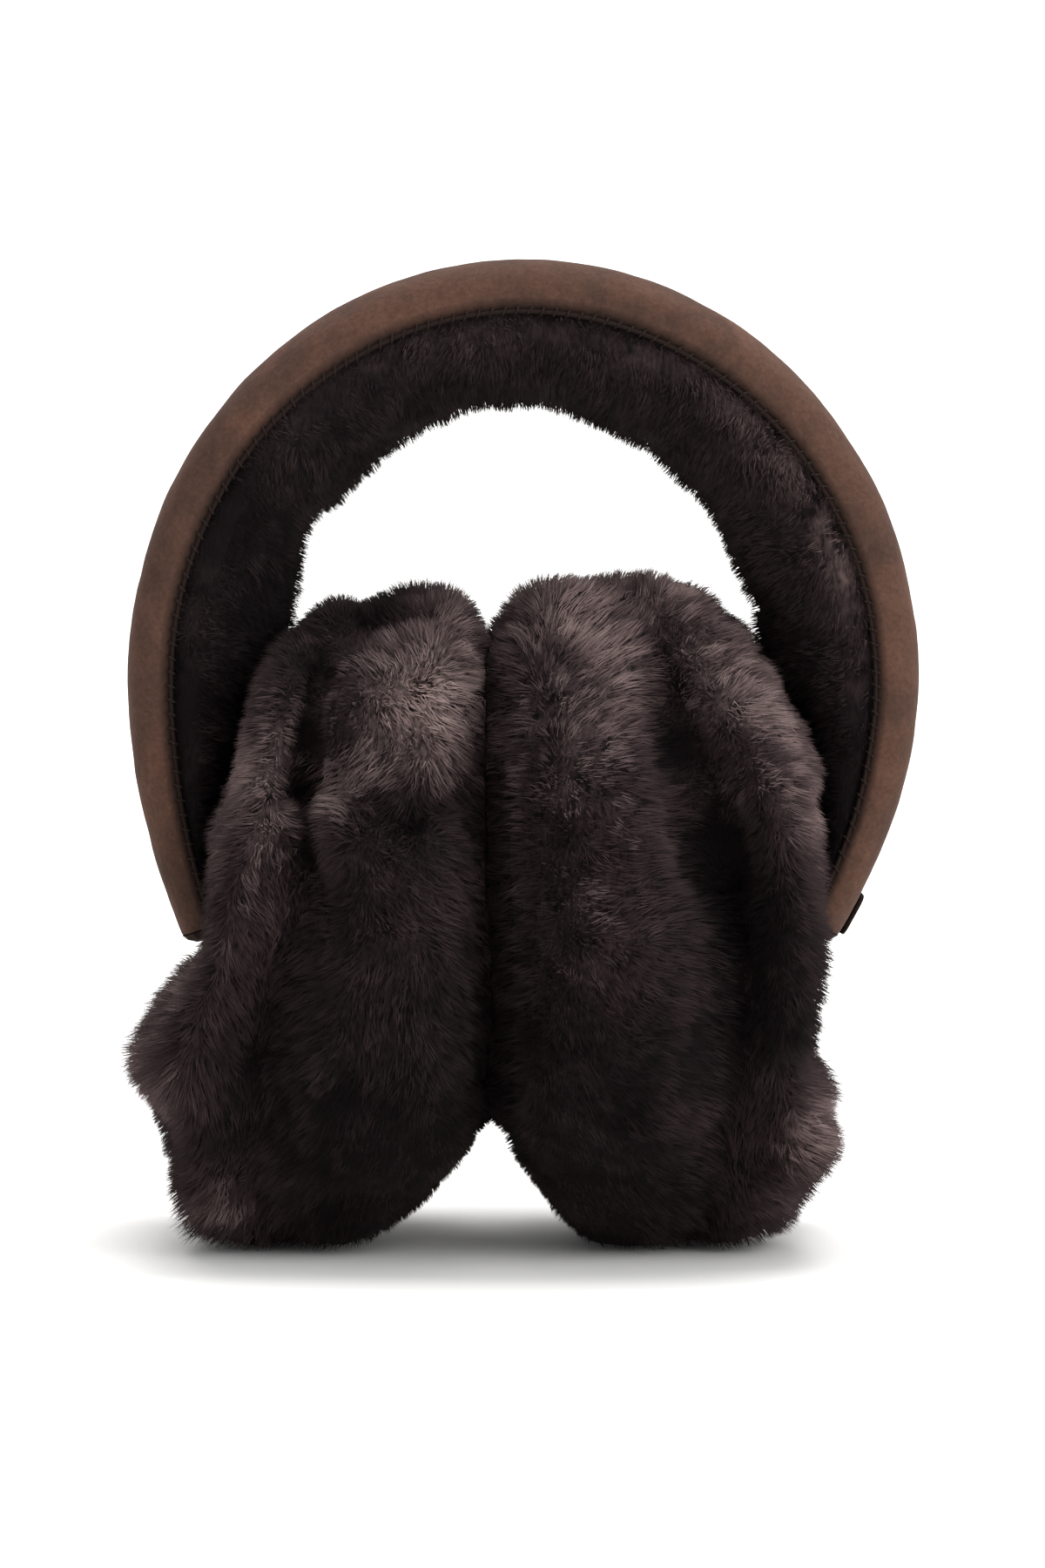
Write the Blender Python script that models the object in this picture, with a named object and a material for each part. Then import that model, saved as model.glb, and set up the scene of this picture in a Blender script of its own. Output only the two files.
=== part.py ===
"""Fur earmuffs: a padded headband with a suede cover and a fur lining, and two thick fur ear pads.

Metres, +Z up. The front faces -Y and the ears are at -X and +X. The earmuffs stand on the flattened fur
at the foot of both pads, on the plane Z = 0, with the band's middle over the origin.
"""

import math
import random
from collections import namedtuple

import bmesh
import bpy
from mathutils import Vector

# Headband
BAND_SPAN = 0.1668          # outside, from ear to ear, where the band is widest
ARCH_RISE = 0.0882          # crown of the band above its widest level
LEG_DROP = 0.0540           # ends of the band below its widest level
LEG_CURVE = 1.9             # how late the band's ends turn in: 1 is a straight leg
BAND_WIDTH = 0.0420         # front to back
COVER_EDGE = 0.0110         # how far the cover wraps down the band's two edges
COVER_WALL = 0.0020         # thickness of the suede
LINING_PILE = 0.0198        # fur of the lining below the cover's edges
LINING_LOCK = 0.0036        # depth of the lining's locks
END_HEM = 0.0022            # thickness of the folded hem that closes each end of the band

# Ear pads
PAD_HEIGHT = 0.1415
PAD_DEPTH = 0.1280          # front to back
LEFT_PAD = 0.0603           # thickness from ear side to outside
RIGHT_PAD = 0.0712
PADS_MEET = -0.0072         # where the two pads press together, beside the band's middle
PAD_LOCK = 0.0042           # depth of the pads' locks
LOCK_FADE = 0.0070          # distance from a seam at which the locks have their full depth
BAND_SEAT = 0.47            # height of the band's ends up the pads, as a share of the pad height
END_STANDS_OUT = 0.0030     # how far the band's ends stand outside the pads' fur

# Side tab on the right end of the band
TAB_LENGTH = 0.0095
TAB_WIDTH = 0.0150
TAB_THICKNESS = 0.0013

# Clearances and resolution
CLEARANCE = 0.0003          # between pieces that touch
SEAT_MARGIN = 0.0090        # how far the hollow for the band reaches past the band in a pad
SEAT_SLOPE = 1.2            # how steeply the pad's fur rises again beside that hollow
BAND_STEPS = 34
ARCH_FACETS = 8
FUR_FACETS = 9
PAD_LEVELS = 17
PAD_CORNERS = 28            # a multiple of four
SEED = 7
SHARP_ANGLE = math.radians(40)

# Squareness of the pieces' cross sections: 2 is an ellipse, and more is nearer to a box
COVER_SQUARENESS = 3.4
LINING_SQUARENESS = 2.6
PAD_SQUARENESS = 3.3

# The band from its crown (0) to its end (1): shares of the cover's edge and of the lining's pile
BandRow = namedtuple("BandRow", "reach edge pile")
BAND_ROWS = [
    BandRow(0.00, 1.00, 1.00),
    BandRow(0.25, 1.00, 1.02),
    BandRow(0.50, 0.92, 1.10),
    BandRow(0.62, 0.88, 1.14),
    BandRow(0.71, 0.87, 0.80),
    BandRow(0.80, 0.84, 0.55),
    BandRow(0.90, 0.76, 0.30),
    BandRow(1.00, 0.68, 0.12),
]

# A pad from its foot (0) to its top (1). The ear, seam and outside columns are shares of the pad's
# thickness, measured from the plane where the pads meet, and the depth is a share of the pad's depth.
PadRow = namedtuple("PadRow", "height ear seam outside depth")
RIGHT_ROWS = [
    PadRow(0.00, 0.26, 0.58, 0.80, 0.30),
    PadRow(0.04, 0.17, 0.64, 0.92, 0.48),
    PadRow(0.11, 0.08, 0.68, 1.00, 0.68),
    PadRow(0.17, 0.03, 0.70, 1.03, 0.79),
    PadRow(0.25, 0.00, 0.72, 0.98, 0.89),
    PadRow(0.35, 0.00, 0.74, 0.99, 0.97),
    PadRow(0.45, 0.00, 0.74, 1.00, 1.00),
    PadRow(0.55, 0.00, 0.72, 0.985, 0.99),
    PadRow(0.65, 0.00, 0.69, 0.955, 0.95),
    PadRow(0.75, 0.00, 0.63, 0.915, 0.87),
    PadRow(0.84, 0.00, 0.57, 0.86, 0.75),
    PadRow(0.91, 0.01, 0.52, 0.78, 0.61),
    PadRow(0.96, 0.04, 0.46, 0.70, 0.45),
    PadRow(1.00, 0.14, 0.40, 0.60, 0.25),
]
LEFT_ROWS = [
    PadRow(0.00, 0.40, 0.70, 0.92, 0.30),
    PadRow(0.04, 0.28, 0.76, 1.05, 0.48),
    PadRow(0.11, 0.12, 0.80, 1.12, 0.68),
    PadRow(0.17, 0.03, 0.82, 1.17, 0.79),
    PadRow(0.25, 0.00, 0.82, 1.23, 0.89),
    PadRow(0.33, 0.00, 0.79, 1.20, 0.96),
    PadRow(0.42, 0.00, 0.74, 1.06, 1.00),
    PadRow(0.52, 0.00, 0.68, 1.00, 1.00),
    PadRow(0.62, 0.00, 0.62, 0.955, 0.96),
    PadRow(0.72, 0.00, 0.58, 0.89, 0.89),
    PadRow(0.81, 0.00, 0.56, 0.825, 0.79),
    PadRow(0.89, 0.01, 0.53, 0.745, 0.65),
    PadRow(0.95, 0.04, 0.44, 0.64, 0.48),
    PadRow(1.00, 0.12, 0.34, 0.50, 0.25),
]

Pad = namedtuple("Pad", "name side thickness rows")
PADS = [
    Pad("left", -1, LEFT_PAD, LEFT_ROWS),
    Pad("right", 1, RIGHT_PAD, RIGHT_ROWS),
]

# A plan of the side tab from its upper end (0) to its lower end (1): shares of its width
TabRow = namedtuple("TabRow", "along width")
TAB_ROWS = [
    TabRow(0.00, 0.70),
    TabRow(0.15, 0.95),
    TabRow(0.70, 1.00),
    TabRow(0.92, 0.85),
    TabRow(1.00, 0.60),
]

# An end hem from the band (0) outward (1): how far its outline draws in, as shares of its thickness
HemRow = namedtuple("HemRow", "past inset")
HEM_ROWS = [
    HemRow(0.0, 0.0),
    HemRow(0.6, 0.36),
    HemRow(1.0, 1.0),
]


def between(rows, at, column):
    """The named column of a table at a place between its rows, by straight interpolation."""
    first = rows[0]._fields[0]
    for low, high in zip(rows, rows[1:]):
        start = getattr(low, first)
        stop = getattr(high, first)
        if at <= stop:
            share = max(0.0, (at - start) / (stop - start))
            return getattr(low, column) * (1 - share) + getattr(high, column) * share
    return getattr(rows[-1], column)


def srgb(code):
    """A colour in sRGB hex as the linear values that a shader takes."""
    channels = [int(code[k:k + 2], 16) / 255 for k in (1, 3, 5)]
    linear = [c / 12.92 if c <= 0.04045 else ((c + 0.055) / 1.055) ** 2.4 for c in channels]
    return (*linear, 1.0)


def material(name, colour, roughness):
    made = bpy.data.materials.new(name)
    made.use_nodes = True
    shader = made.node_tree.nodes["Principled BSDF"]
    shader.inputs["Base Color"].default_value = srgb(colour)
    shader.inputs["Roughness"].default_value = roughness
    shader.inputs["Metallic"].default_value = 0.0
    return made


def clear_scene():
    for old in list(bpy.data.objects):
        bpy.data.objects.remove(old, do_unlink=True)


# The band's path, which is the middle line of the cover's outer face

def widest_level():
    return PAD_HEIGHT * BAND_SEAT + LEG_DROP


def end_reach(pad):
    """How far out from the middle the band's outer face is at the pad's end of the band."""
    face = pad.thickness * between(pad.rows, BAND_SEAT, "outside")
    return face + pad.side * PADS_MEET + END_STANDS_OUT


def half_length():
    """The path's length from the crown to the widest level, and from there to an end."""
    half_span = BAND_SPAN / 2
    return math.pi / 2 * math.sqrt((half_span ** 2 + ARCH_RISE ** 2) / 2), LEG_DROP


def path_point(place):
    """A point of the path: place runs from -1 at the left end through 0 at the crown to 1."""
    pad = PADS[0] if place < 0 else PADS[1]
    half_span = BAND_SPAN / 2
    quarter, leg = half_length()
    shoulder = quarter / (quarter + leg)
    reach = abs(place)
    if reach <= shoulder:
        angle = reach / shoulder * math.pi / 2
        out = half_span * math.sin(angle)
        level = widest_level() + ARCH_RISE * math.cos(angle)
    else:
        fall = (reach - shoulder) / (1 - shoulder)
        out = half_span - (half_span - end_reach(pad)) * fall ** LEG_CURVE
        level = widest_level() - LEG_DROP * fall
    return Vector((pad.side * out, 0.0, level))


def path_frame(place):
    """A point of the path, and the direction out of the band there."""
    step = 0.002
    before = path_point(max(place - step, -1))
    after = path_point(min(place + step, 1))
    along = (after - before).normalized()
    return path_point(place), Vector((-along.z, 0.0, along.x))


def on_band(place, across, outward):
    """A point beside the path: across is along Y, outward is out of the band."""
    middle, out = path_frame(place)
    return middle + out * outward + Vector((0.0, across, 0.0))


def edge_depth(place):
    return COVER_EDGE * between(BAND_ROWS, abs(place), "edge")


def pile_depth(place):
    return LINING_PILE * between(BAND_ROWS, abs(place), "pile")


def arch(half_width, top, foot, count, squareness=COVER_SQUARENESS):
    """A flat-topped arch across the band, from one foot over the top to the other."""
    points = []
    for k in range(count + 1):
        angle = math.pi * k / count
        across = half_width * math.copysign(abs(math.cos(angle)) ** (2 / squareness), math.cos(angle))
        rise = foot + (top - foot) * abs(math.sin(angle)) ** (2 / squareness)
        points.append((across, rise))
    return points


def band_places():
    return [-1 + 2 * k / BAND_STEPS for k in range(BAND_STEPS + 1)]


def cover_section(place):
    """The suede channel: over the outside, down both edges, and back along its inner face."""
    edge = edge_depth(place)
    half = BAND_WIDTH / 2
    outside = arch(half, 0.0, -edge, ARCH_FACETS)
    inside = arch(half - COVER_WALL, -COVER_WALL, -edge, ARCH_FACETS)
    return [on_band(place, across, rise) for across, rise in outside + inside[::-1]]


def lining_section(place):
    """The padded core inside the channel, and the fur that swells out below the channel's edges."""
    edge = edge_depth(place)
    core_half = BAND_WIDTH / 2 - COVER_WALL - CLEARANCE
    core = arch(core_half, -COVER_WALL - CLEARANCE, -edge - CLEARANCE, ARCH_FACETS)
    fur_half = BAND_WIDTH / 2 + CLEARANCE
    foot = -edge - 2 * CLEARANCE
    fur = arch(fur_half, foot - pile_depth(place), foot, FUR_FACETS, LINING_SQUARENESS)
    return [on_band(place, across, rise) for across, rise in core + fur[::-1]]


# Solids

def loft(bm, rings):
    """Joins rings of equally many corners into one closed skin with a flat cap at each end."""
    loops = [[bm.verts.new(corner) for corner in ring] for ring in rings]
    for low, high in zip(loops, loops[1:]):
        for k in range(len(low)):
            after = (k + 1) % len(low)
            bm.faces.new((low[k], low[after], high[after], high[k]))
    bm.faces.new(loops[0][::-1])
    bm.faces.new(loops[-1])
    bmesh.ops.recalc_face_normals(bm, faces=bm.faces)
    bm.normal_update()


def raise_locks(bm, depth, furriness, seed):
    """Turns each furry face into a lock: its corners sink into the pile and its tip stays outside."""
    chance = random.Random(seed)
    roots = [(v, v.normal.copy(), furriness(v.co)) for v in bm.verts]
    furry = [f for f in bm.faces if len(f.verts) == 4 and furriness(f.calc_center_median()) > 0.4]
    tips = bmesh.ops.poke(bm, faces=furry)["verts"]
    bm.normal_update()
    outward = [(tip, tip.normal.copy(), tip_room(tip)) for tip in tips]
    for root, normal, share in roots:
        root.co -= normal * depth * share
    for tip, normal, room in outward:
        hanging = Vector((0.0, 0.0, -1.0)) + normal * normal.z
        swell = normal * depth * chance.uniform(0.0, 0.25)
        fall = hanging * min(depth, room) * chance.uniform(0.3, 0.8)
        tip.co += (swell + fall) * furriness(tip.co)


def tip_room(tip):
    """The least distance from the middle of a lock's face to the middle of one of its sides."""
    sides = [[v.co for v in face.verts if v != tip] for face in tip.link_faces]
    return min((tip.co - (one + other) / 2).length for one, other in sides)


def add_object(name, bm, surface, collection):
    mesh = bpy.data.meshes.new(name)
    bm.to_mesh(mesh)
    bm.free()
    mesh.materials.append(surface)
    mesh.shade_smooth()
    mesh.set_sharp_from_angle(angle=SHARP_ANGLE)
    made = bpy.data.objects.new(name, mesh)
    collection.objects.link(made)
    return made


def make_cover(suede, collection):
    bm = bmesh.new()
    loft(bm, [cover_section(place) for place in band_places()])
    return add_object("headband_cover", bm, suede, collection)


def make_lining(fur, collection):
    """The lining's fur stands on the head side, and its core inside the cover stays plain."""
    bm = bmesh.new()
    loft(bm, [lining_section(place) for place in band_places()])

    def furriness(co):
        below, pile = below_edges(co)
        return max(0.0, min(1.0, below / LINING_LOCK)) * min(1.0, pile * pile)

    raise_locks(bm, LINING_LOCK, furriness, SEED)
    return add_object("headband_lining", bm, fur, collection)


def below_edges(co):
    """How far a point lies below the cover's edges on the head side, and the share of the pile there."""
    level = Vector((co.x, 0.0, co.z))
    place = min(band_places(), key=lambda at: (path_point(at) - level).length)
    middle, out = path_frame(place)
    below = (middle - level).dot(out) - edge_depth(place)
    return below, between(BAND_ROWS, abs(place), "pile")


def make_end_hem(pad, suede, collection):
    """The folded hem that closes one end of the band, just past its last section."""
    edge = edge_depth(pad.side)
    middle, out = path_frame(pad.side)
    away = Vector((out.z, 0.0, -out.x)) * pad.side
    outline = arch(BAND_WIDTH / 2, 0.0, -edge, ARCH_FACETS)
    rings = []
    for row in HEM_ROWS:
        inset = row.inset * END_HEM
        ring = []
        for across, rise in outline:
            narrow = 1 - inset / (BAND_WIDTH / 2)
            low = -edge + (rise + edge) * (1 - inset / edge)
            place = away * (CLEARANCE + row.past * END_HEM) + out * low
            ring.append(middle + place + Vector((0.0, across * narrow, 0.0)))
        rings.append(ring)
    bm = bmesh.new()
    loft(bm, rings)
    return add_object(pad.name + "_band_end_hem", bm, suede, collection)


def make_side_tab(leather, collection):
    """A plain tab of thin leather on the outside of the band's right end."""
    length = TAB_LENGTH / sum(half_length())
    rings = []
    for row in TAB_ROWS:
        place = 1 - length * (1 - row.along)
        half = TAB_WIDTH / 2 * row.width
        low = CLEARANCE
        high = CLEARANCE + TAB_THICKNESS
        corners = ((-half, low), (half, low), (half, high), (-half, high))
        rings.append([on_band(place, across, rise) for across, rise in corners])
    bm = bmesh.new()
    loft(bm, rings)
    return add_object("side_tab", bm, leather, collection)


# Ear pads

def even_oval(half_x, half_y, squareness, count):
    """A squared oval with evenly spaced corners, four of them on its axes."""
    fine = 120
    quarter = []
    for k in range(fine + 1):
        angle = math.pi / 2 * k / fine
        quarter.append((half_x * math.cos(angle) ** (2 / squareness),
                        half_y * math.sin(angle) ** (2 / squareness)))
    run = [0.0]
    for (x0, y0), (x1, y1) in zip(quarter, quarter[1:]):
        run.append(run[-1] + math.hypot(x1 - x0, y1 - y0))
    steps = count // 4
    corner = []
    for k in range(steps):
        target = run[-1] * k / steps
        at = max(j for j in range(fine + 1) if run[j] <= target + 1e-12)
        corner.append(quarter[at])
    turned = corner + [(-x, y) for x, y in [quarter[-1]] + corner[:0:-1]]
    return turned + [(-x, -y) for x, y in turned]


def pad_levels():
    """Heights of a pad's sections as shares, closer together at the foot and the top."""
    levels = []
    for k in range(PAD_LEVELS + 1):
        share = k / PAD_LEVELS
        levels.append(0.45 * share + 0.55 * (0.5 - 0.5 * math.cos(math.pi * share)))
    return levels


def pad_edge(pad, level, column):
    """Where one column of the pad's table lies along X."""
    return pad.side * pad.thickness * between(pad.rows, level, column) + PADS_MEET


def pad_section(pad, level, near, far, depth_share):
    """One level ring of half a pad, between two columns of the pad's table."""
    low = pad_edge(pad, level, near) + pad.side * CLEARANCE / 2
    high = pad_edge(pad, level, far) - pad.side * CLEARANCE / 2
    middle = (low + high) / 2
    half_y = PAD_DEPTH / 2 * depth_share * between(pad.rows, level, "depth")
    ring = even_oval(abs(high - low) / 2, half_y, PAD_SQUARENESS, PAD_CORNERS)
    return [Vector((middle + x, y, PAD_HEIGHT * level)) for x, y in ring]


SeatRow = namedtuple("SeatRow", "level reach")


def seat_rows(pad):
    """How far out the head side of the band is, from the band's end upwards, on one pad's side."""
    rows = []
    for k in range(BAND_STEPS, 0, -1):
        place = pad.side * k / BAND_STEPS
        inner = on_band(place, 0.0, -edge_depth(place) - pile_depth(place) - 3 * CLEARANCE)
        if not rows or inner.z > rows[-1].level:
            rows.append(SeatRow(inner.z, abs(inner.x)))
    slope = (rows[1].reach - rows[0].reach) / (rows[1].level - rows[0].level)
    past_end = SeatRow(rows[0].level - SEAT_MARGIN, rows[0].reach - SEAT_MARGIN * slope)
    return [past_end] + rows


def press_on_band(bm, pad, rows):
    """Presses a pad's fur back to the band's surface where the band lies on it."""
    end_level = path_point(pad.side).z
    pressed = set()
    for v in bm.verts:
        beside = max(0.0, abs(v.co.y) - BAND_WIDTH / 2 - SEAT_MARGIN)
        below = max(0.0, end_level - SEAT_MARGIN - v.co.z)
        limit = between(rows, v.co.z, "reach") - CLEARANCE + (beside + below) * SEAT_SLOPE
        if v.co.x * pad.side > limit - CLEARANCE:
            v.co.x = min(v.co.x * pad.side, limit) * pad.side
            pressed.add(v)
    bm.normal_update()
    return pressed


def make_pad_half(pad, half, near, far, depth_share, fur, collection):
    bm = bmesh.new()
    loft(bm, [pad_section(pad, level, near, far, depth_share) for level in pad_levels()])
    rows = seat_rows(pad)
    pressed = press_on_band(bm, pad, rows) if half == "outer" else set()
    flat = {tuple(v.co) for v in pressed}

    def furriness(co):
        if co.z < CLEARANCE or tuple(co) in flat:
            return 0.0
        free = abs(co.x - pad_edge(pad, co.z / PAD_HEIGHT, "seam"))
        if half == "inner":
            free = min(free, abs(co.x - PADS_MEET))
        return min(1.0, free / LOCK_FADE)

    raise_locks(bm, PAD_LOCK, furriness, SEED + PADS.index(pad) * 2 + (half == "outer"))
    for v in bm.verts:
        v.co.y = max(-PAD_DEPTH / 2, min(PAD_DEPTH / 2, v.co.y))
        v.co.z = max(0.0, min(PAD_HEIGHT, v.co.z))
    if half == "outer":
        press_on_band(bm, pad, rows)
    return add_object(pad.name + "_pad_" + half + "_fur", bm, fur, collection)


def main():
    clear_scene()
    collection = bpy.data.collections.new("fur_earmuffs")
    bpy.context.scene.collection.children.link(collection)
    suede = material("suede sheepskin", "#5C473D", 0.9)
    leather = material("dark edge leather", "#33251F", 0.7)
    shearling = material("dark brown shearling", "#2B2122", 1.0)

    make_cover(suede, collection)
    make_lining(shearling, collection)
    for pad in PADS:
        make_end_hem(pad, suede, collection)
        make_pad_half(pad, "inner", "ear", "seam", 1.0, shearling, collection)
        make_pad_half(pad, "outer", "seam", "outside", 0.95, shearling, collection)
    make_side_tab(leather, collection)


main()
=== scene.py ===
"""Fur earmuffs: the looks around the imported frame, in the frame's own coordinates.

Metres, +Z up. The front faces -Y, and the ear pads are at -X and +X.
"""

import math
from collections import namedtuple

import bmesh
import bpy
import numpy as np
from mathutils import Matrix, Vector, noise
from mathutils.bvhtree import BVHTree
from mathutils.kdtree import KDTree


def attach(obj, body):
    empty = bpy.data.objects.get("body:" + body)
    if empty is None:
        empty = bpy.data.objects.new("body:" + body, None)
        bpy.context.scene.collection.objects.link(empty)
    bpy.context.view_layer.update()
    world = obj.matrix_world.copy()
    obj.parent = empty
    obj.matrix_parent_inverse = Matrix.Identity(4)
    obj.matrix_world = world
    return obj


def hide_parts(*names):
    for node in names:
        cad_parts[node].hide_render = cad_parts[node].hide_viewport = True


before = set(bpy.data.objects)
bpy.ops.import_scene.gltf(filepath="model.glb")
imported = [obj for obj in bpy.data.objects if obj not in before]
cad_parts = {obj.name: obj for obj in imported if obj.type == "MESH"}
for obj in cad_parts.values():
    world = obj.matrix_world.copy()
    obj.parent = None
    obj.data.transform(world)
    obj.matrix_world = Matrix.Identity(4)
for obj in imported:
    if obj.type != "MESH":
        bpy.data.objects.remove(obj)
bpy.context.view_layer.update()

bl_info = {
    "name": "Fur Earmuffs",
    "version": (1, 0, 0),
    "blender": (4, 5, 0),
    "location": "View3D > Sidebar > Earmuffs",
    "description": "Builds the suede, the seams and the shearling of a pair of fur earmuffs",
    "category": "Object",
}

# The headband's path, as in the part's source: the middle line of the cover's outer face
HALF_SPAN = 0.0834
ARCH_RISE = 0.0882
LEG_DROP = 0.0540
LEG_CURVE = 1.9
WIDEST_LEVEL = 0.120505
END_REACH = {-1: 0.072309, 1: 0.066786}     # half the band's reach at its left and right ends
QUARTER = math.pi / 2 * math.sqrt((HALF_SPAN ** 2 + ARCH_RISE ** 2) / 2)     # crown to widest level
BAND_HALF = 0.0210
COVER_EDGE = 0.0110
COVER_WALL = 0.0020
LINING_PILE = 0.0198
COVER_SQUARENESS = 3.4
LINING_SQUARENESS = 2.6
CORE_SHARE = 0.3            # share of the lining's section that lies inside the cover
CORE_ROOM = 0.0003          # between that core and the cover
GATHER_DEPTH = 0.0006       # the gathers that sewing pulls into the cover's edges
GATHER_TURN = 260.0         # radians of gathers along half the band, one in about 4.6 mm
TAB_LENGTH = 0.0082
TAB_WIDTH = 0.0150
TAB_THICKNESS = 0.0009
TAB_LIFT = 0.0003           # of the tab above the cover
STITCH_SIZE = (0.0014, 0.00032, 0.00032)    # half a stitch's length, width and thickness
END_SHARE = 0.999           # of the band's length that the welt and the lining reach
# From the crown (0) to an end (1): shares of the cover's edge and of the lining's pile
REACHES = (0.00, 0.25, 0.50, 0.62, 0.71, 0.80, 0.90, 1.00)
EDGE_SHARES = (1.00, 1.00, 0.92, 0.88, 0.87, 0.84, 0.76, 0.68)
PILE_SHARES = (1.00, 1.02, 1.10, 1.14, 0.80, 0.55, 0.30, 0.12)

# The pads, from foot to top: where the seam between the two fur panels of a pad runs along X
PAD_HEIGHT = 0.1415
PADS_MEET = -0.0072
MEET_WAVE = 0.0008          # how far the pads' pressed faces wave to either side of that plane
MEET_ROOM = 0.00004         # from each pad to the face between them
MEET_ROUND = {-1: 0.011, 1: 0.008}      # how far from that face the pads round off
EVEN_ROUNDS, SEAM_ROUNDS = 6, 28        # rounds of smoothing: everywhere, and over the seams
SEAM_REACH = 0.012          # how far on each side of a seam the fur closes over it
CLOSED_LEVELS = {-1: (0.015, 0.098), 1: (0.015, 0.130)}     # and between which levels
SEAM_LEVELS = {
    -1: (0.00, 0.04, 0.11, 0.17, 0.25, 0.33, 0.42, 0.52, 0.62, 0.72, 0.81, 0.89, 0.95, 1.00),
    1: (0.00, 0.04, 0.11, 0.17, 0.25, 0.35, 0.45, 0.55, 0.65, 0.75, 0.84, 0.91, 0.96, 1.00),
}
SEAM_REACHES = {
    -1: (0.0422, 0.0458, 0.0482, 0.0494, 0.0494, 0.0476, 0.0446, 0.0410, 0.0374, 0.0350, 0.0338,
         0.0320, 0.0265, 0.0205),
    1: (0.0413, 0.0456, 0.0484, 0.0498, 0.0513, 0.0527, 0.0527, 0.0513, 0.0491, 0.0449, 0.0406,
        0.0370, 0.0328, 0.0285),
}
# Between these levels the seam shows as a dark valley, and elsewhere the fur closes over it
VALLEYS = {-1: (0.104, 0.134), 1: (0.082, 0.118)}

# Forms of the stuffed pads beyond their solids, in millimetres: the line they follow across the front
# and the back as X and Z, how far they reach around it, how far they stand out (or sink in), and
# whether they run through the pad's whole depth, or fade away beside the band
Form = namedtuple("Form", "line reach height through", defaults=(False,))
FORMS = {
    -1: (
        Form(((-42.5, 129.0), (-42.8, 120.0), (-44.0, 98.0)), 3.2, -9.5),    # crease beside the seam
        Form(((-40.0, 113.0), (-39.0, 101.0), (-36.0, 87.0)), 3.8, 5.0),     # hanging tuft
        Form(((-43.0, 92.0), (-42.0, 80.0)), 3.0, -3.0),                     # fold under the tuft
        Form(((-40.0, 131.0), (-30.0, 133.0), (-21.0, 136.0)), 4.5, -2.2),   # fold over the bright lobe
        Form(((-32.0, 118.0), (-19.0, 121.0)), 9.5, 4.0),                    # bright lobe
        Form(((-34.0, 99.0), (-24.0, 94.0), (-13.0, 98.0)), 5.5, -4.6),      # fold under it
        Form(((-46.5, 134.0), (-55.0, 124.0)), 5.0, 4.5),                    # shoulder against the band
        Form(((-27.0, 143.0), (-35.5, 139.8)), 4.8, -3.5, True),             # slope of the top
        Form(((-56.0, 112.0), (-61.0, 88.0)), 8.0, 1.6),                     # outer ridge
        Form(((-72.0, 53.0), (-76.0, 44.0)), 6.0, 2.8),                      # low outer lobe
        Form(((-68.0, 71.0), (-69.0, 64.0)), 5.0, -1.8),                     # waist above it
        Form(((-78.0, 30.0), (-73.0, 24.0)), 5.0, -4.2),                     # waist below that lobe
        Form(((-73.0, 14.0), (-69.0, 8.0)), 4.5, 1.8),                       # outer foot
        Form(((-36.0, 62.0), (-27.0, 66.0)), 7.0, 1.6),                      # swell of the lower half
        Form(((-13.0, 24.0), (-23.0, 7.0)), 6.0, 1.8),                       # round of the inner foot
    ),
    1: (
        Form(((3.0, 140.0), (14.0, 142.0)), 6.0, 2.4),                       # full inner top
        Form(((8.0, 132.0), (11.0, 104.0), (12.0, 96.0)), 9.0, 2.2),         # inner lobe
        Form(((28.0, 118.0), (31.0, 107.0), (33.0, 92.0), (37.0, 82.0)), 5.0, -4.5),  # valley
        Form(((38.0, 92.0), (43.0, 82.0), (44.0, 72.0)), 6.0, -2.5),         # foot of the valley
        Form(((25.0, 140.0), (32.0, 128.0), (40.0, 116.0)), 6.0, 4.0),       # full outer top
        Form(((42.0, 114.0), (48.0, 102.0), (52.0, 90.0)), 4.5, 3.0),        # crest beside the valley
        Form(((50.0, 129.0), (55.0, 116.0), (58.5, 103.0)), 5.0, 3.0, True),    # full beside the band
        Form(((54.0, 100.0), (56.5, 72.0)), 7.0, 1.4),                       # outer crescent
        Form(((60.0, 44.0), (57.0, 39.0)), 4.5, -2.8),                       # waist above the low lobe
        Form(((62.5, 28.0), (62.0, 24.0)), 5.5, 1.4),                        # low outer lobe
        Form(((48.0, 36.0), (50.0, 16.0)), 5.0, -1.0),                       # fold beside that lobe
        Form(((58.0, 14.0), (50.0, 6.0)), 6.0, -1.6),                        # slope of the foot
        Form(((10.0, 74.0), (24.0, 64.0)), 8.0, 2.0),                        # swell of the lower half
        Form(((3.0, 24.0), (13.0, 7.0)), 6.0, 1.0),                          # round of the inner foot
    ),
}
# Painted light and shade in the tips' colour, in millimetres: X, Z, how far around, how much
# Lighter spots are painted highlights on lobes, ridges and lower rims; darker ones are painted shade in
# creases and valleys
Spot = namedtuple("Spot", "x z reach shift")
PAINTED_LIGHT_AND_SHADE = {
    -1: (Spot(-20, 121, 10, 0.42), Spot(-27, 109, 10, 0.18), Spot(-31, 137, 9, -0.55),
         Spot(-43, 123, 5, -0.65), Spot(-44, 111, 3.5, -0.80), Spot(-45, 99, 3.5, -0.65),
         Spot(-43, 87, 4.5, -0.45), Spot(-38, 99, 5, 0.32), Spot(-55, 100, 11, 0.20),
         Spot(-56, 127, 8, -0.35),
         Spot(-69, 60, 13, 0.40), Spot(-74, 38, 11, 0.45), Spot(-63, 10, 14, 0.50),
         Spot(-22, 92, 9, -0.35), Spot(-34, 26, 15, -0.15)),
    1: (Spot(10, 136, 12, 0.07), Spot(27, 136, 10, 0.06), Spot(12, 104, 10, 0.15),
        Spot(30, 106, 7, -0.70), Spot(40, 85, 10, -0.80), Spot(46, 72, 9, -0.40),
        Spot(43, 52, 10, -0.20), Spot(42, 114, 9, 0.15), Spot(55, 92, 10, 0.22),
        Spot(60, 27, 14, 0.52), Spot(16, 68, 12, 0.22), Spot(50, 8, 12, 0.20)),
}

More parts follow.
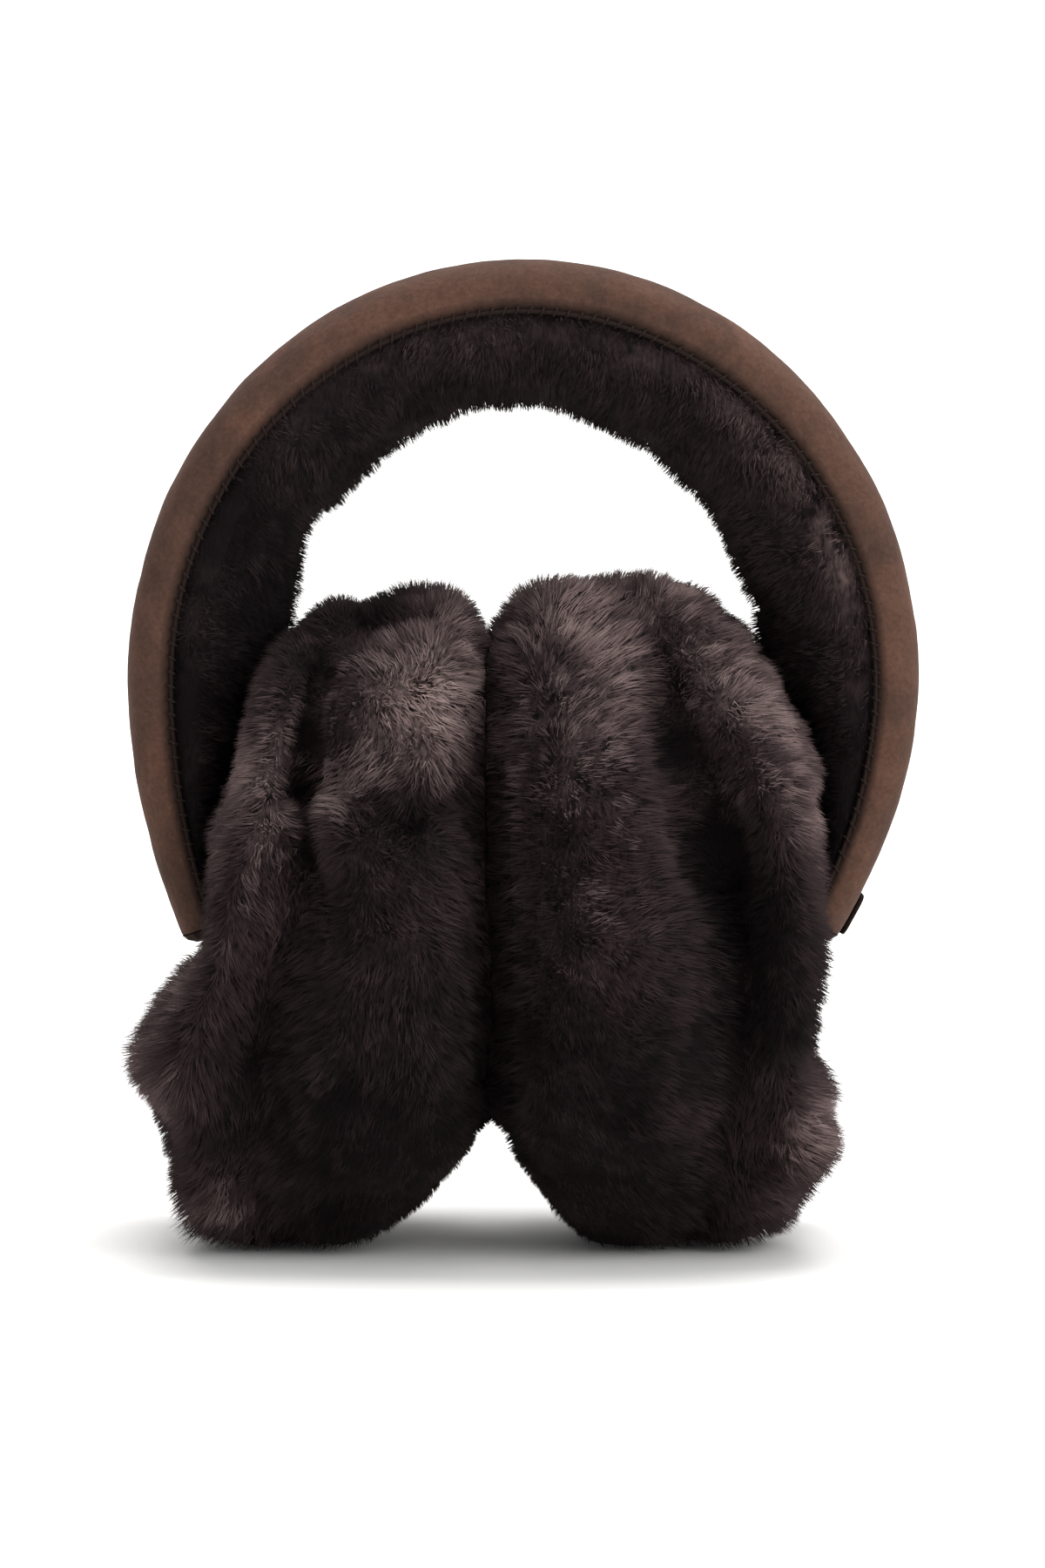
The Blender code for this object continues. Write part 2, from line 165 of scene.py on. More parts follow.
# Where the pads' fibres are longer, and stand out as ragged tufts: X, Z, how far around, and how much
# longer
TUFTS = {
    -1: (Spot(-77, 46, 8, 0.90), Spot(-38, 92, 5, 0.45), Spot(-70, 8, 7, 0.40)),
    1: (Spot(60, 37, 4, 1.30), Spot(64, 24, 7, 0.50), Spot(53, 82, 10, 0.20)),
}

# How the fleece of each half of a pad is combed: shares away from the other pad, and down
COMBED = {
    (-1, "inner"): (0.10, 0.75), (-1, "outer"): (0.35, 0.75),
    (1, "inner"): (0.75, 0.25), (1, "outer"): (0.45, 0.70),
}

# Where the lining swells or is thinner than its solid: the place along the band, how far around, and
# how much, in millimetres
Swell = namedtuple("Swell", "place reach height")
SWELLS = (
    Swell(-0.80, 0.050, 3.5), Swell(-0.68, 0.045, 4.5), Swell(-0.46, 0.060, -3.0),
    Swell(-0.10, 0.080, -1.2), Swell(0.25, 0.100, 1.5), Swell(0.46, 0.070, 2.0),
    Swell(0.60, 0.030, -1.0), Swell(0.71, 0.060, 7.0), Swell(0.83, 0.060, 5.0),
)

# The fleece
CURVED_SHARE = 0.03         # strands with a bend
WANDER = 0.16               # how far strands stray from the way they are combed
ROOT_DEPTH = 0.0006         # of the strands' roots in the pelt
FLOOR_ROOM = 0.0003         # of the strands above the floor

# The picture
PIXEL = 0.000185            # metres in a pixel of the 1200 x 1800 picture, at the band
PICTURE_HEIGHT = 1800
MIDDLE = (600.0, 900.0)
FOOT_PIXEL = (601.0, 1428.0)
CAMERA_DISTANCE = 1.30
CAMERA_RISE = math.radians(3.4)
SENSOR = 36.0

# The paper sweep: its length, its flat part, the radius of its bend, where it starts and half its width
PAPER_RUN, PAPER_FLAT, PAPER_BEND, PAPER_START, PAPER_HALF = 5.2, 3.0, 0.8, -1.8, 3.0


# Small helpers

def srgb(code):
    """A colour in sRGB hex as the linear values that a shader takes."""
    channels = [int(code[k:k + 2], 16) / 255 for k in (1, 3, 5)]
    linear = [c / 12.92 if c <= 0.04045 else ((c + 0.055) / 1.055) ** 2.4 for c in channels]
    return (*linear, 1.0)


def add_node(tree, kind, settings=None, links=None):
    """Adds a node. Settings are its own choices or its sockets' values, and links feed its sockets."""
    made = tree.nodes.new(kind)
    for key, value in (settings or {}).items():
        if isinstance(key, str) and hasattr(made, key):
            setattr(made, key, value)
        else:
            made.inputs[key].default_value = value
    for key, source in (links or {}).items():
        tree.links.new(source, made.inputs[key])
    return made


def new_material(name):
    made = bpy.data.materials.new(name)
    made.use_nodes = True
    made.node_tree.nodes.clear()
    return made, made.node_tree


def finish_material(tree, settings, links):
    shader = add_node(tree, "ShaderNodeBsdfPrincipled", settings, links)
    add_node(tree, "ShaderNodeOutputMaterial", links={"Surface": shader.outputs[0]})


def add_piece(name, mesh, material):
    """A finished piece: its place is in its mesh, and it rides on the one body."""
    mesh.name = name
    mesh.materials.clear()
    mesh.materials.append(material)
    mesh.shade_smooth()
    made = bpy.data.objects.new(name, mesh)
    bpy.context.scene.collection.objects.link(made)
    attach(made, "root")
    return made


def mesh_of(bm, name):
    mesh = bpy.data.meshes.new(name)
    bm.to_mesh(mesh)
    bm.free()
    return mesh


def unit(vectors):
    """An array of vectors, each made one long."""
    return vectors / np.maximum(np.linalg.norm(vectors, axis=1, keepdims=True), 1e-9)


def smooth_step(low, high, values):
    """Rises smoothly from 0 at low to 1 at high, for a number or an array."""
    share = np.clip((values - low) / (high - low), 0, 1)
    return share * share * (3 - 2 * share)


# The band's path

def path_point(place):
    """A point of the path: place runs from -1 at the left end through 0 at the crown to 1."""
    side = -1 if place < 0 else 1
    shoulder = QUARTER / (QUARTER + LEG_DROP)
    reach = abs(place)
    if reach <= shoulder:
        angle = reach / shoulder * math.pi / 2
        out = HALF_SPAN * math.sin(angle)
        level = WIDEST_LEVEL + ARCH_RISE * math.cos(angle)
    else:
        fall = (reach - shoulder) / (1 - shoulder)
        out = HALF_SPAN - (HALF_SPAN - END_REACH[side]) * fall ** LEG_CURVE
        level = WIDEST_LEVEL - LEG_DROP * fall
    return Vector((side * out, 0.0, level))


def path_frame(place):
    """A point of the path, the direction out of the band there, and the direction along it."""
    step = 0.002
    along = (path_point(min(place + step, 1)) - path_point(max(place - step, -1))).normalized()
    return path_point(place), Vector((-along.z, 0.0, along.x)), along


def on_band(place, across, outward):
    """A point by its place along the band, how far towards the back, and how far out of the path."""
    middle, out, _ = path_frame(place)
    return middle + out * outward + Vector((0.0, across, 0.0))


def edge_depth(place):
    """How far the cover's edges wrap down at a place."""
    return COVER_EDGE * float(np.interp(abs(place), REACHES, EDGE_SHARES))


def pile_depth(place):
    """How deep the lining's fur is at a place."""
    return LINING_PILE * float(np.interp(abs(place), REACHES, PILE_SHARES))


def arch_point(turn, half_width, top, foot, squareness):
    """A point of a flat-topped arch: turn runs from 0 at one foot to 1 at the other."""
    angle = math.pi * turn
    across = half_width * math.copysign(abs(math.cos(angle)) ** (2 / squareness), math.cos(angle))
    return across, foot + (top - foot) * abs(math.sin(angle)) ** (2 / squareness)


# Materials

def suede_material(colours):
    """Sheepskin suede: the flesh side of the skin, buffed to a short nap that scatters the light. It is
    dead matt, with soft light and dark strokes where the nap has been brushed over, and its two edges
    are darkened towards the seam colour as painted shade in the seam."""
    made, tree = new_material("sheepskin suede")
    place = add_node(tree, "ShaderNodeTexCoord").outputs["Object"]
    strip = add_node(tree, "ShaderNodeUVMap", {"uv_map": "strip"}).outputs[0]
    across = add_node(tree, "ShaderNodeSeparateXYZ", links={0: strip}).outputs["Y"]
    # brushed strokes of the nap, about 14 mm
    strokes = add_node(tree, "ShaderNodeTexNoise",
                       {"Scale": 70.0, "Detail": 4.0, "Roughness": 0.6, "Distortion": 0.4},
                       {"Vector": place}).outputs["Fac"]
    # tufts of the nap, about 1 mm with finer grain in them, because the real nap is too fine to show
    nap = add_node(tree, "ShaderNodeTexNoise", {"Scale": 950.0, "Detail": 3.0, "Roughness": 0.75},
                   {"Vector": place}).outputs["Fac"]
    spread = add_node(tree, "ShaderNodeMapRange",
                      {"From Min": 0.25, "From Max": 0.75}, {"Value": strokes}).outputs[0]
    brushed = add_node(tree, "ShaderNodeMix",
                       {"data_type": "RGBA", 6: srgb(colours.suede_dark), 7: srgb(colours.suede_light)},
                       {0: spread}).outputs[2]
    grain = add_node(tree, "ShaderNodeMapRange",
                     {"From Min": 0.3, "From Max": 0.7, "To Min": 0.78, "To Max": 1.22},
                     {"Value": nap}).outputs[0]
    napped = add_node(tree, "ShaderNodeVectorMath", {"operation": "SCALE"},
                      {0: brushed, "Scale": grain}).outputs[0]
    # painted shade in the seam: the strip's two edges, about 1.5 mm wide, are darkened towards the seam
    # colour
    off_middle = add_node(tree, "ShaderNodeMath", {"operation": "ABSOLUTE"},
                          {0: add_node(tree, "ShaderNodeMath", {"operation": "SUBTRACT", 1: 0.5},
                                       {0: across}).outputs[0]}).outputs[0]
    painted_seam_shade = add_node(tree, "ShaderNodeMapRange",
                    {"From Min": 0.470, "From Max": 0.495, "To Min": 0.0, "To Max": 0.75},
                    {"Value": off_middle}).outputs[0]
    colour = add_node(tree, "ShaderNodeMix",
                      {"data_type": "RGBA", 7: srgb(colours.seam)}, {0: painted_seam_shade, 6: napped}).outputs[2]
    relief = add_node(tree, "ShaderNodeMath", {"operation": "MULTIPLY_ADD", 1: 3.0},
                      {0: strokes, 2: nap}).outputs[0]
    bump = add_node(tree, "ShaderNodeBump", {"Strength": 0.55, "Distance": 0.00022},
                    {"Height": relief}).outputs[0]
    finish_material(tree, {"Roughness": 0.95, "IOR": 1.45, "Specular IOR Level": 0.18,
                           "Sheen Weight": 0.22, "Sheen Roughness": 0.5,
                           "Sheen Tint": srgb(colours.suede_light)},
                    {"Base Color": colour, "Normal": bump})
    return made


def leather_material(colours):
    """Dyed sheepskin leather, skived thin and folded: it is smoother than the suede, with a low waxy
    gloss along its rounded edge and fine creases."""
    made, tree = new_material("folded dyed leather")
    place = add_node(tree, "ShaderNodeTexCoord").outputs["Object"]
    creases = add_node(tree, "ShaderNodeTexVoronoi", {"feature": "DISTANCE_TO_EDGE", "Scale": 900.0},
                       {"Vector": place}).outputs["Distance"]       # grain cells of about 1 mm
    patches = add_node(tree, "ShaderNodeTexNoise", {"Scale": 160.0, "Detail": 3.0},
                       {"Vector": place}).outputs["Fac"]            # handling marks of about 6 mm
    colour = add_node(tree, "ShaderNodeMix",
                      {"data_type": "RGBA", 6: srgb(colours.seam), 7: srgb(colours.leather)},
                      {0: patches}).outputs[2]
    bump = add_node(tree, "ShaderNodeBump", {"Strength": 0.4, "Distance": 0.00012},
                    {"Height": creases}).outputs[0]
    rough = add_node(tree, "ShaderNodeMapRange", {"To Min": 0.72, "To Max": 0.92},
                     {"Value": patches}).outputs[0]
    finish_material(tree, {"IOR": 1.48, "Specular IOR Level": 0.16},
                    {"Base Color": colour, "Normal": bump, "Roughness": rough})
    return made


def thread_material(colours):
    """Waxed polyester thread, twisted from three plies: dark, with a dull shine on each ply."""
    made, tree = new_material("waxed polyester thread")
    place = add_node(tree, "ShaderNodeTexCoord").outputs["Object"]
    plies = add_node(tree, "ShaderNodeTexWave", {"Scale": 420.0, "Distortion": 1.5},
                     {"Vector": place}).outputs["Fac"]              # plies of about 0.4 mm
    colour = add_node(tree, "ShaderNodeMix",
                      {"data_type": "RGBA", 6: srgb(colours.seam), 7: srgb(colours.thread)},
                      {0: plies}).outputs[2]
    bump = add_node(tree, "ShaderNodeBump", {"Strength": 0.5, "Distance": 0.0001},
                    {"Height": plies}).outputs[0]
    finish_material(tree, {"Roughness": 0.6, "IOR": 1.5, "Specular IOR Level": 0.12},
                    {"Base Color": colour, "Normal": bump})
    return made


def tip_colour(tree, tint, dark_tip, tip, light_tip):
    """The colour of the fleece's tips for a tint from 0, dark, to 1, light; the tint holds painted
    light and shade along with random differences. The dye takes unevenly in patches of about 12 mm."""
    place = add_node(tree, "ShaderNodeTexCoord").outputs["Object"]
    patches = add_node(tree, "ShaderNodeTexNoise", {"Scale": 85.0, "Detail": 2.0},
                       {"Vector": place}).outputs["Fac"]
    lift = add_node(tree, "ShaderNodeMath", {"operation": "MULTIPLY_ADD", 1: 0.3, 2: -0.15},
                    {0: patches}).outputs[0]
    pick = add_node(tree, "ShaderNodeMath", {"operation": "ADD", "use_clamp": True},
                    {0: tint, 1: lift}).outputs[0]
    dull = add_node(tree, "ShaderNodeMapRange", {"From Min": 0.0, "From Max": 0.5}, {"Value": pick})
    bright = add_node(tree, "ShaderNodeMapRange", {"From Min": 0.5, "From Max": 1.0}, {"Value": pick})
    low = add_node(tree, "ShaderNodeMix", {"data_type": "RGBA", 6: srgb(dark_tip), 7: srgb(tip)},
                   {0: dull.outputs[0]}).outputs[2]
    return add_node(tree, "ShaderNodeMix", {"data_type": "RGBA", 7: srgb(light_tip)},
                    {0: bright.outputs[0], 6: low}).outputs[2]


def underfur_material(name, root, dark_tip, tip, light_tip):
    """Dyed shearling underneath its tips: dense crimped wool standing on the skin, nearly black between
    the locks because little light comes back out of it, and lighter where its tips are light."""
    made, tree = new_material(name)
    place = add_node(tree, "ShaderNodeTexCoord").outputs["Object"]
    tint = add_node(tree, "ShaderNodeSeparateXYZ", links={
        0: add_node(tree, "ShaderNodeUVMap", {"uv_map": "strand"}).outputs[0]}).outputs["X"]
    ends = tip_colour(tree, tint, dark_tip, tip, light_tip)
    hanging = add_node(tree, "ShaderNodeMapping", {"Scale": (1.0, 1.0, 0.35)},
                       {"Vector": place}).outputs[0]
    # crimped fibres in bundles of about 0.7 mm, three times as long as wide
    fibres = add_node(tree, "ShaderNodeTexNoise", {"Scale": 1400.0, "Detail": 3.0, "Roughness": 0.65},
                      {"Vector": hanging}).outputs["Fac"]
    # locks of about 5 mm
    locks = add_node(tree, "ShaderNodeTexNoise", {"Scale": 190.0, "Detail": 2.0},
                     {"Vector": place}).outputs["Fac"]
    light = add_node(tree, "ShaderNodeMath", {"operation": "MULTIPLY"},
                     {0: fibres, 1: locks}).outputs[0]
    share = add_node(tree, "ShaderNodeMapRange", {"From Min": 0.14, "From Max": 0.52},
                     {"Value": light}).outputs[0]
    colour = add_node(tree, "ShaderNodeMix",
                      {"data_type": "RGBA", 6: srgb(root)}, {0: share, 7: ends}).outputs[2]
    bump = add_node(tree, "ShaderNodeBump", {"Strength": 0.9, "Distance": 0.0008},
                    {"Height": light}).outputs[0]
    finish_material(tree, {"Roughness": 0.9, "IOR": 1.45, "Specular IOR Level": 0.12},
                    {"Base Color": colour, "Normal": bump})
    return made


def fleece_material(name, root, dark_tip, tip, light_tip):
    """Dyed shearling fibres: each is dark at its root and browner at its tip, where the dye takes less
    and the light catches it, with a soft sheen and no sharp gloss."""
    made, tree = new_material(name)
    strand = add_node(tree, "ShaderNodeSeparateXYZ", links={
        0: add_node(tree, "ShaderNodeUVMap", {"uv_map": "strand"}).outputs[0]})
    ends = tip_colour(tree, strand.outputs["X"], dark_tip, tip, light_tip)
    rise = add_node(tree, "ShaderNodeMapRange",
                    {"interpolation_type": "SMOOTHSTEP", "From Min": -0.5, "From Max": 0.8},
                    {"Value": strand.outputs["Y"]}).outputs[0]
    colour = add_node(tree, "ShaderNodeMix",
                      {"data_type": "RGBA", 6: srgb(root)}, {0: rise, 7: ends}).outputs[2]
    finish_material(tree, {"Roughness": 0.85, "IOR": 1.5, "Specular IOR Level": 0.12,
                           "Sheen Weight": 0.06, "Sheen Roughness": 0.5,
                           "Sheen Tint": srgb(light_tip)},
                    {"Base Color": colour})
    return made


def studio_material(name, colour):
    """Matt seamless paper, with the faint tooth of its pulp."""
    made, tree = new_material(name)
    place = add_node(tree, "ShaderNodeTexCoord").outputs["Object"]
    tooth = add_node(tree, "ShaderNodeTexNoise", {"Scale": 900.0}, {"Vector": place}).outputs["Fac"]
    bump = add_node(tree, "ShaderNodeBump", {"Strength": 0.05, "Distance": 0.0001},
                    {"Height": tooth}).outputs[0]
    finish_material(tree, {"Base Color": srgb(colour), "Roughness": 0.9, "Specular IOR Level": 0.1},
                    {"Normal": bump})
    return made


# The band's leather

def make_cover(sizes, suede):
    """The suede strip over the band's outside and down its two edges, a little puffed by its padding,
    with the small gathers that sewing pulls into its edges."""
    bm = bmesh.new()
    bm.loops.layers.uv.new("strip")
    bmesh.ops.create_grid(bm, x_segments=260, y_segments=40, size=1.0, calc_uvs=True)
    for v in bm.verts:
        place, turn = v.co.x, (1 - v.co.y) / 2
        rim = 1 - abs(v.co.y)
        across, rise = arch_point(turn, BAND_HALF, 0.0, -edge_depth(place), COVER_SQUARENESS)
        spot = on_band(place, across, rise)
        swell = sizes.puff * smooth_step(0.0, 0.5, rim) * (1 - abs(place) ** 6)
        dents = noise.fractal(spot * 55.0, 0.8, 2.2, 3) * sizes.dents
        gathers = math.sin(place * GATHER_TURN + 3.0 * noise.noise(spot * 40.0)) * GATHER_DEPTH
        gathers *= math.exp(-((rim - 0.10) / 0.09) ** 2) * (0.55 + noise.noise(spot * 25.0))
        side = Vector((0.0, across, 0.0)).normalized() if abs(across) > 1e-6 else Vector()
        _, out, _ = path_frame(place)
        tilt = smooth_step(0.75, 1.0, abs(across) / BAND_HALF)
        normal = (out * (1 - tilt) + side * tilt).normalized()
        v.co = spot + normal * (swell + dents * min(1.0, rim * 6) + gathers)
    bmesh.ops.recalc_face_normals(bm, faces=bm.faces)
    bm.normal_update()
    crown = min(bm.faces, key=lambda f: (f.calc_center_median() - path_point(0.0)).length)
    if crown.normal.z < 0:
        bmesh.ops.reverse_faces(bm, faces=bm.faces)
    mesh = mesh_of(bm, "cover_suede")
    made = add_piece("cover_suede", mesh, suede)
    wall = made.modifiers.new("wall", "SOLIDIFY")
    wall.thickness = COVER_WALL * 0.8
    wall.offset = -1.0
    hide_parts("headband_cover")


def seam_line(side, count):
    """Spots along the seam between the suede and the fur, on one side of the band, each with the
    directions out of the band and along it."""
    for k in range(count):
        place = -1 + 2 * (k + 0.5) / count
        _, out, along = path_frame(place)
        spot = on_band(place, side * (BAND_HALF + 0.0001), -edge_depth(place) - 0.0002)
        yield spot, out, along


def make_welt(sizes, leather):
    """The thin rolled edge of dark leather along each seam of the band: a real edge, whose dark leather
    also stands in for the shadow in the seam.
    """
    bm = bmesh.new()
    around = 8
    for side in (-1, 1):
        grid = bmesh.ops.create_grid(bm, x_segments=220, y_segments=around, size=1.0)
        for v in grid["verts"]:
            place, turn = v.co.x * END_SHARE, v.co.y * math.pi
            _, out, _ = path_frame(place)
            spot = on_band(place, side * (BAND_HALF + 0.0001), -edge_depth(place) - 0.0003)
            girth = sizes.welt / 2 * (1 + 0.15 * noise.noise(spot * 300.0))
            v.co = spot + (out * math.sin(turn) + Vector((0, side, 0)) * math.cos(turn)) * girth
    bmesh.ops.remove_doubles(bm, verts=bm.verts, dist=1e-6)
    bmesh.ops.holes_fill(bm, edges=bm.edges, sides=0)
    bmesh.ops.recalc_face_normals(bm, faces=bm.faces)
    add_piece("edge_welt", mesh_of(bm, "edge_welt"), leather)


def make_stitches(sizes, thread):
    """Slanted overcast stitches that sew the suede to the pelt over the welt."""
    bm = bmesh.new()
    for side in (-1, 1):
        for spot, out, along in seam_line(side, sizes.stitches):
            slant = 0.5 + 0.25 * noise.noise(spot * 500.0)
            lie = (out + along * slant).normalized()
            away = Vector((0.0, side, 0.0))
            turn = Matrix((lie, away, lie.cross(away))).transposed().to_4x4()
            shape = Matrix.Diagonal((*STITCH_SIZE, 1.0))
            lift = away * (sizes.welt / 2 - 0.00002)
            bmesh.ops.create_icosphere(bm, subdivisions=1, radius=1.0,
                                       matrix=Matrix.Translation(spot + lift) @ turn @ shape)
    bmesh.ops.recalc_face_normals(bm, faces=bm.faces)
    add_piece("edge_stitches", mesh_of(bm, "edge_stitches"), thread)


def make_side_tab(leather):
    """The small plain tab of thin leather on the outside of the band's right end: a plate with rounded
    corners, bent to the band and with its cut edge softened."""
    reach = TAB_LENGTH / (QUARTER + LEG_DROP)
    bm = bmesh.new()
    bmesh.ops.create_grid(bm, x_segments=1, y_segments=1, size=1.0)
    bmesh.ops.bevel(bm, geom=bm.verts[:], offset=0.45, segments=4, profile=0.5, affect="VERTICES",
                    material=-1)
    raised = bmesh.ops.extrude_face_region(bm, geom=bm.faces[:])["geom"]
    for item in raised:
        if isinstance(item, bmesh.types.BMVert):
            item.co.z = 1.0
    bmesh.ops.recalc_face_normals(bm, faces=bm.faces)
    rim = [e for e in bm.edges if abs(e.verts[0].co.z - e.verts[1].co.z) < 0.5
           and e.verts[0].co.z > 0.5]
    bmesh.ops.bevel(bm, geom=rim, offset=0.14, segments=2, profile=0.5, affect="EDGES", material=-1)
    for v in bm.verts:
        place = 1 - reach * (1 - v.co.x) / 2
        v.co = on_band(place, v.co.y * TAB_WIDTH / 2, TAB_LIFT + TAB_THICKNESS * v.co.z)
    bmesh.ops.recalc_face_normals(bm, faces=bm.faces)
    made = add_piece("side_tab_leather", mesh_of(bm, "side_tab_leather"), leather)
    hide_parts("side_tab")


# Pelts: the stuffed forms under the fleece

def lining_pelt(pads, sizes, underfur):
    """The band's padded core inside the cover and the swell of its fur below the cover's edges, which
    stays clear of the pads' pelts."""
    bm = bmesh.new()
    grid = bmesh.ops.create_grid(bm, x_segments=230, y_segments=44, size=1.0)
    core_half = BAND_HALF - COVER_WALL - CORE_ROOM
    for v in grid["verts"]:
        place, turn = v.co.x * END_SHARE, (v.co.y + 1) / 2
        edge, pile = edge_depth(place), pile_depth(place)
        if 0 < turn <= CORE_SHARE:
            across, rise = arch_point(turn / CORE_SHARE, core_half, -COVER_WALL - CORE_ROOM,
                                      -edge - CORE_ROOM, COVER_SQUARENESS)
            v.co = on_band(place, across, rise)
            continue
        # both ends of the section are one place
        share = (turn - CORE_SHARE) / (1 - CORE_SHARE) if turn > 0 else 1.0
        depth = min(sizes.coat_depth, 0.5 * pile)
        across, rise = arch_point(1 - share, BAND_HALF - 0.4 * depth, -edge - 0.0006 - pile + depth,
                                  -edge - 0.0006, LINING_SQUARENESS)
        spot = on_band(place, across, rise)
        inward = math.sin(math.pi * share)
        lump = noise.fractal(spot * 60.0, 1.0, 2.0, 3) * sizes.lumps * 1.7
        lump *= min(1, pile / 0.01)
        lump += sum(swell.height * math.exp(-((place - swell.place) / swell.reach) ** 2)
                    for swell in SWELLS) / 1000
        _, out, _ = path_frame(place)
        near, _, _, distance = pads.ray_cast(spot, -out, 0.015)
        if near is not None:
            lump = min(lump, distance - 0.0008)
        v.co = spot - out * lump * inward
    bmesh.ops.remove_doubles(bm, verts=bm.verts, dist=1e-6)
    bmesh.ops.holes_fill(bm, edges=bm.edges, sides=0)
    bmesh.ops.recalc_face_normals(bm, faces=bm.faces)
    made = add_piece("lining_pelt", mesh_of(bm, "lining_pelt"), underfur)
    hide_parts("headband_lining")
    return made


def form_height(side, spot):
    """How far the pads' own forms raise or sink the pelt at a spot."""
    at = Vector((spot.x * 1000, spot.z * 1000))
    off_band = smooth_step(0.004, 0.020, abs(spot.y))
    total = 0.0
    for form in FORMS[side]:
        gap = min(distance_to_run(at, Vector(a), Vector(b)) for a, b in zip(form.line, form.line[1:]))
        total += form.height * math.exp(-(gap / form.reach) ** 2) * (1.0 if form.through else off_band)
    return total / 1000


def distance_to_run(at, start, stop):
    """How far a point is from the straight line between two others."""
    run = stop - start
    share = max(0.0, min(1.0, (at - start).dot(run) / run.length_squared))
    return (at - start - run * share).length


def pads_meet(y, z):
    """Where the two pads press against each other along X. The soft faces wave a little."""
    return PADS_MEET + MEET_WAVE * np.sin(y / 0.004 + 1.5 * np.sin(z / 0.011))


def past_seam(side, x, z):
    """How far outside a pad's seam a point lies, less than nothing on the ear side of it."""
    levels = [level * PAD_HEIGHT for level in SEAM_LEVELS[side]]
    return side * (x - PADS_MEET) - np.interp(z, levels, SEAM_REACHES[side])


def pad_pelt(side, lining, sizes, underfur):
    """A pad under its fleece: the form of its two solids together with their locks smoothed away, drawn
    in by the depth of the fleece, and lumpy as a stuffed skin is. Its fur closes over the seam."""
    name = "left_pad" if side < 0 else "right_pad"
    halves = [name + "_inner_fur", name + "_outer_fur"]
    bm = bmesh.new()
    for half in halves:
        bm.from_mesh(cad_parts[half].data)
    bmesh.ops.remove_doubles(bm, verts=bm.verts, dist=1e-5)
    copy = bpy.data.objects.new(name, mesh_of(bm, name))
    bpy.context.scene.collection.objects.link(copy)
    remesh = copy.modifiers.new("remesh", "REMESH")
    remesh.mode = "VOXEL"
    remesh.voxel_size = sizes.voxel
    remesh.use_smooth_shade = True
    graph = bpy.context.evaluated_depsgraph_get()
    mesh = bpy.data.meshes.new_from_object(copy.evaluated_get(graph))
    bpy.data.objects.remove(copy)

    bm = bmesh.new()
    bm.from_mesh(mesh)
    low, high = CLOSED_LEVELS[side]
    by_seam = [v for v in bm.verts
               if low < v.co.z < high and abs(past_seam(side, v.co.x, v.co.z)) < SEAM_REACH]
    for verts in [bm.verts] * EVEN_ROUNDS + [by_seam] * SEAM_ROUNDS:
        bmesh.ops.smooth_vert(bm, verts=verts, factor=0.5, use_axis_x=True, use_axis_y=True,
                              use_axis_z=True)
    bm.normal_update()
    moves = []
    for v in bm.verts:
        lump = noise.fractal(v.co * 55.0 + Vector((side * 7.0, 3.0, 1.0)), 1.0, 2.0, 3) * sizes.lumps
        lump += form_height(side, v.co)
        gap = side * (v.co.x - PADS_MEET)
        near, _, _, distance = lining.find_nearest(v.co, 0.008)
        swell = lump - sizes.coat_depth
        if near is not None:
            swell = min(swell * (1.0 if swell > 0 else smooth_step(0.002, 0.007, distance)),
                        distance - 0.0005)
        move = v.normal * swell
        if gap < 0.003:
            move.x = pads_meet(v.co.y, v.co.z) + side * MEET_ROOM - v.co.x
        round_off = max(0.0, 1 - gap / MEET_ROUND[side])
        move.y -= math.copysign(sizes.rounding * round_off ** 2, v.co.y) * min(1, abs(v.co.y) / 0.02)
        moves.append(move)
    for v, move in zip(bm.verts, moves):
        v.co += move
        v.co.z = max(v.co.z, 0.0012)
    bm.to_mesh(mesh)
    bm.free()
    made = add_piece(name + "_pelt", mesh, underfur)
    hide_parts(*halves)
    return made


# Fleece

def surface_points(mesh, count, weigh, chance):
    """Evenly scattered points on a mesh, with its smooth normals: weigh gives each triangle's share."""
    mesh.calc_loop_triangles()
    spots = np.empty(len(mesh.vertices) * 3, np.float32)
    mesh.vertices.foreach_get("co", spots)
    spots = spots.reshape(-1, 3).astype(float)
    normals = np.empty(len(mesh.vertices) * 3, np.float32)
    mesh.vertex_normals.foreach_get("vector", normals)
    normals = normals.reshape(-1, 3).astype(float)
    tris = np.empty(len(mesh.loop_triangles) * 3, np.int32)
    mesh.loop_triangles.foreach_get("vertices", tris)
    tris = tris.reshape(-1, 3)
    a, b, c = (spots[tris[:, k]] for k in range(3))
    areas = np.linalg.norm(np.cross(b - a, c - a), axis=1) / 2
    middle = (a + b + c) / 3
    facing = unit(normals[tris].sum(axis=1))
    weights = areas * weigh(middle, facing)
    picked = chance.choice(len(tris), size=count, p=weights / weights.sum())
    u, v = chance.random(count), chance.random(count)
    over = u + v > 1
    u[over], v[over] = 1 - u[over], 1 - v[over]
    shares = np.stack([1 - u - v, u, v], axis=1)[:, :, None]
    at = (spots[tris[picked]] * shares).sum(axis=1)
    return at, unit((normals[tris[picked]] * shares).sum(axis=1))


def swirl(points, size, seed):
    """Smooth values from about -1 to 1 over points, with waves about size apart."""
    chance = np.random.default_rng(seed)
    total = np.zeros(len(points))
    for k in range(5):
        wave = chance.normal(size=3)
        wave *= 2 * math.pi / size / np.linalg.norm(wave) * chance.uniform(0.6, 1.5)
        total += np.sin(points @ wave + chance.uniform(0, 2 * math.pi))
    return total / 3.0


def gather(roots, tips, spacing, pull, chance):
    """Draws the tips of neighbouring strands together into locks."""
    count = max(8, int(len(roots) * spacing))
    leaders = chance.choice(len(roots), size=count, replace=False)
    tree = KDTree(count)
    for k, leader in enumerate(leaders):
        tree.insert(roots[leader], k)
    tree.balance()
    lock = np.array([tree.find(root)[1] for root in roots])
    aim = tips[leaders[lock]]
    return tips + (aim - tips) * pull[:, None], lock, count


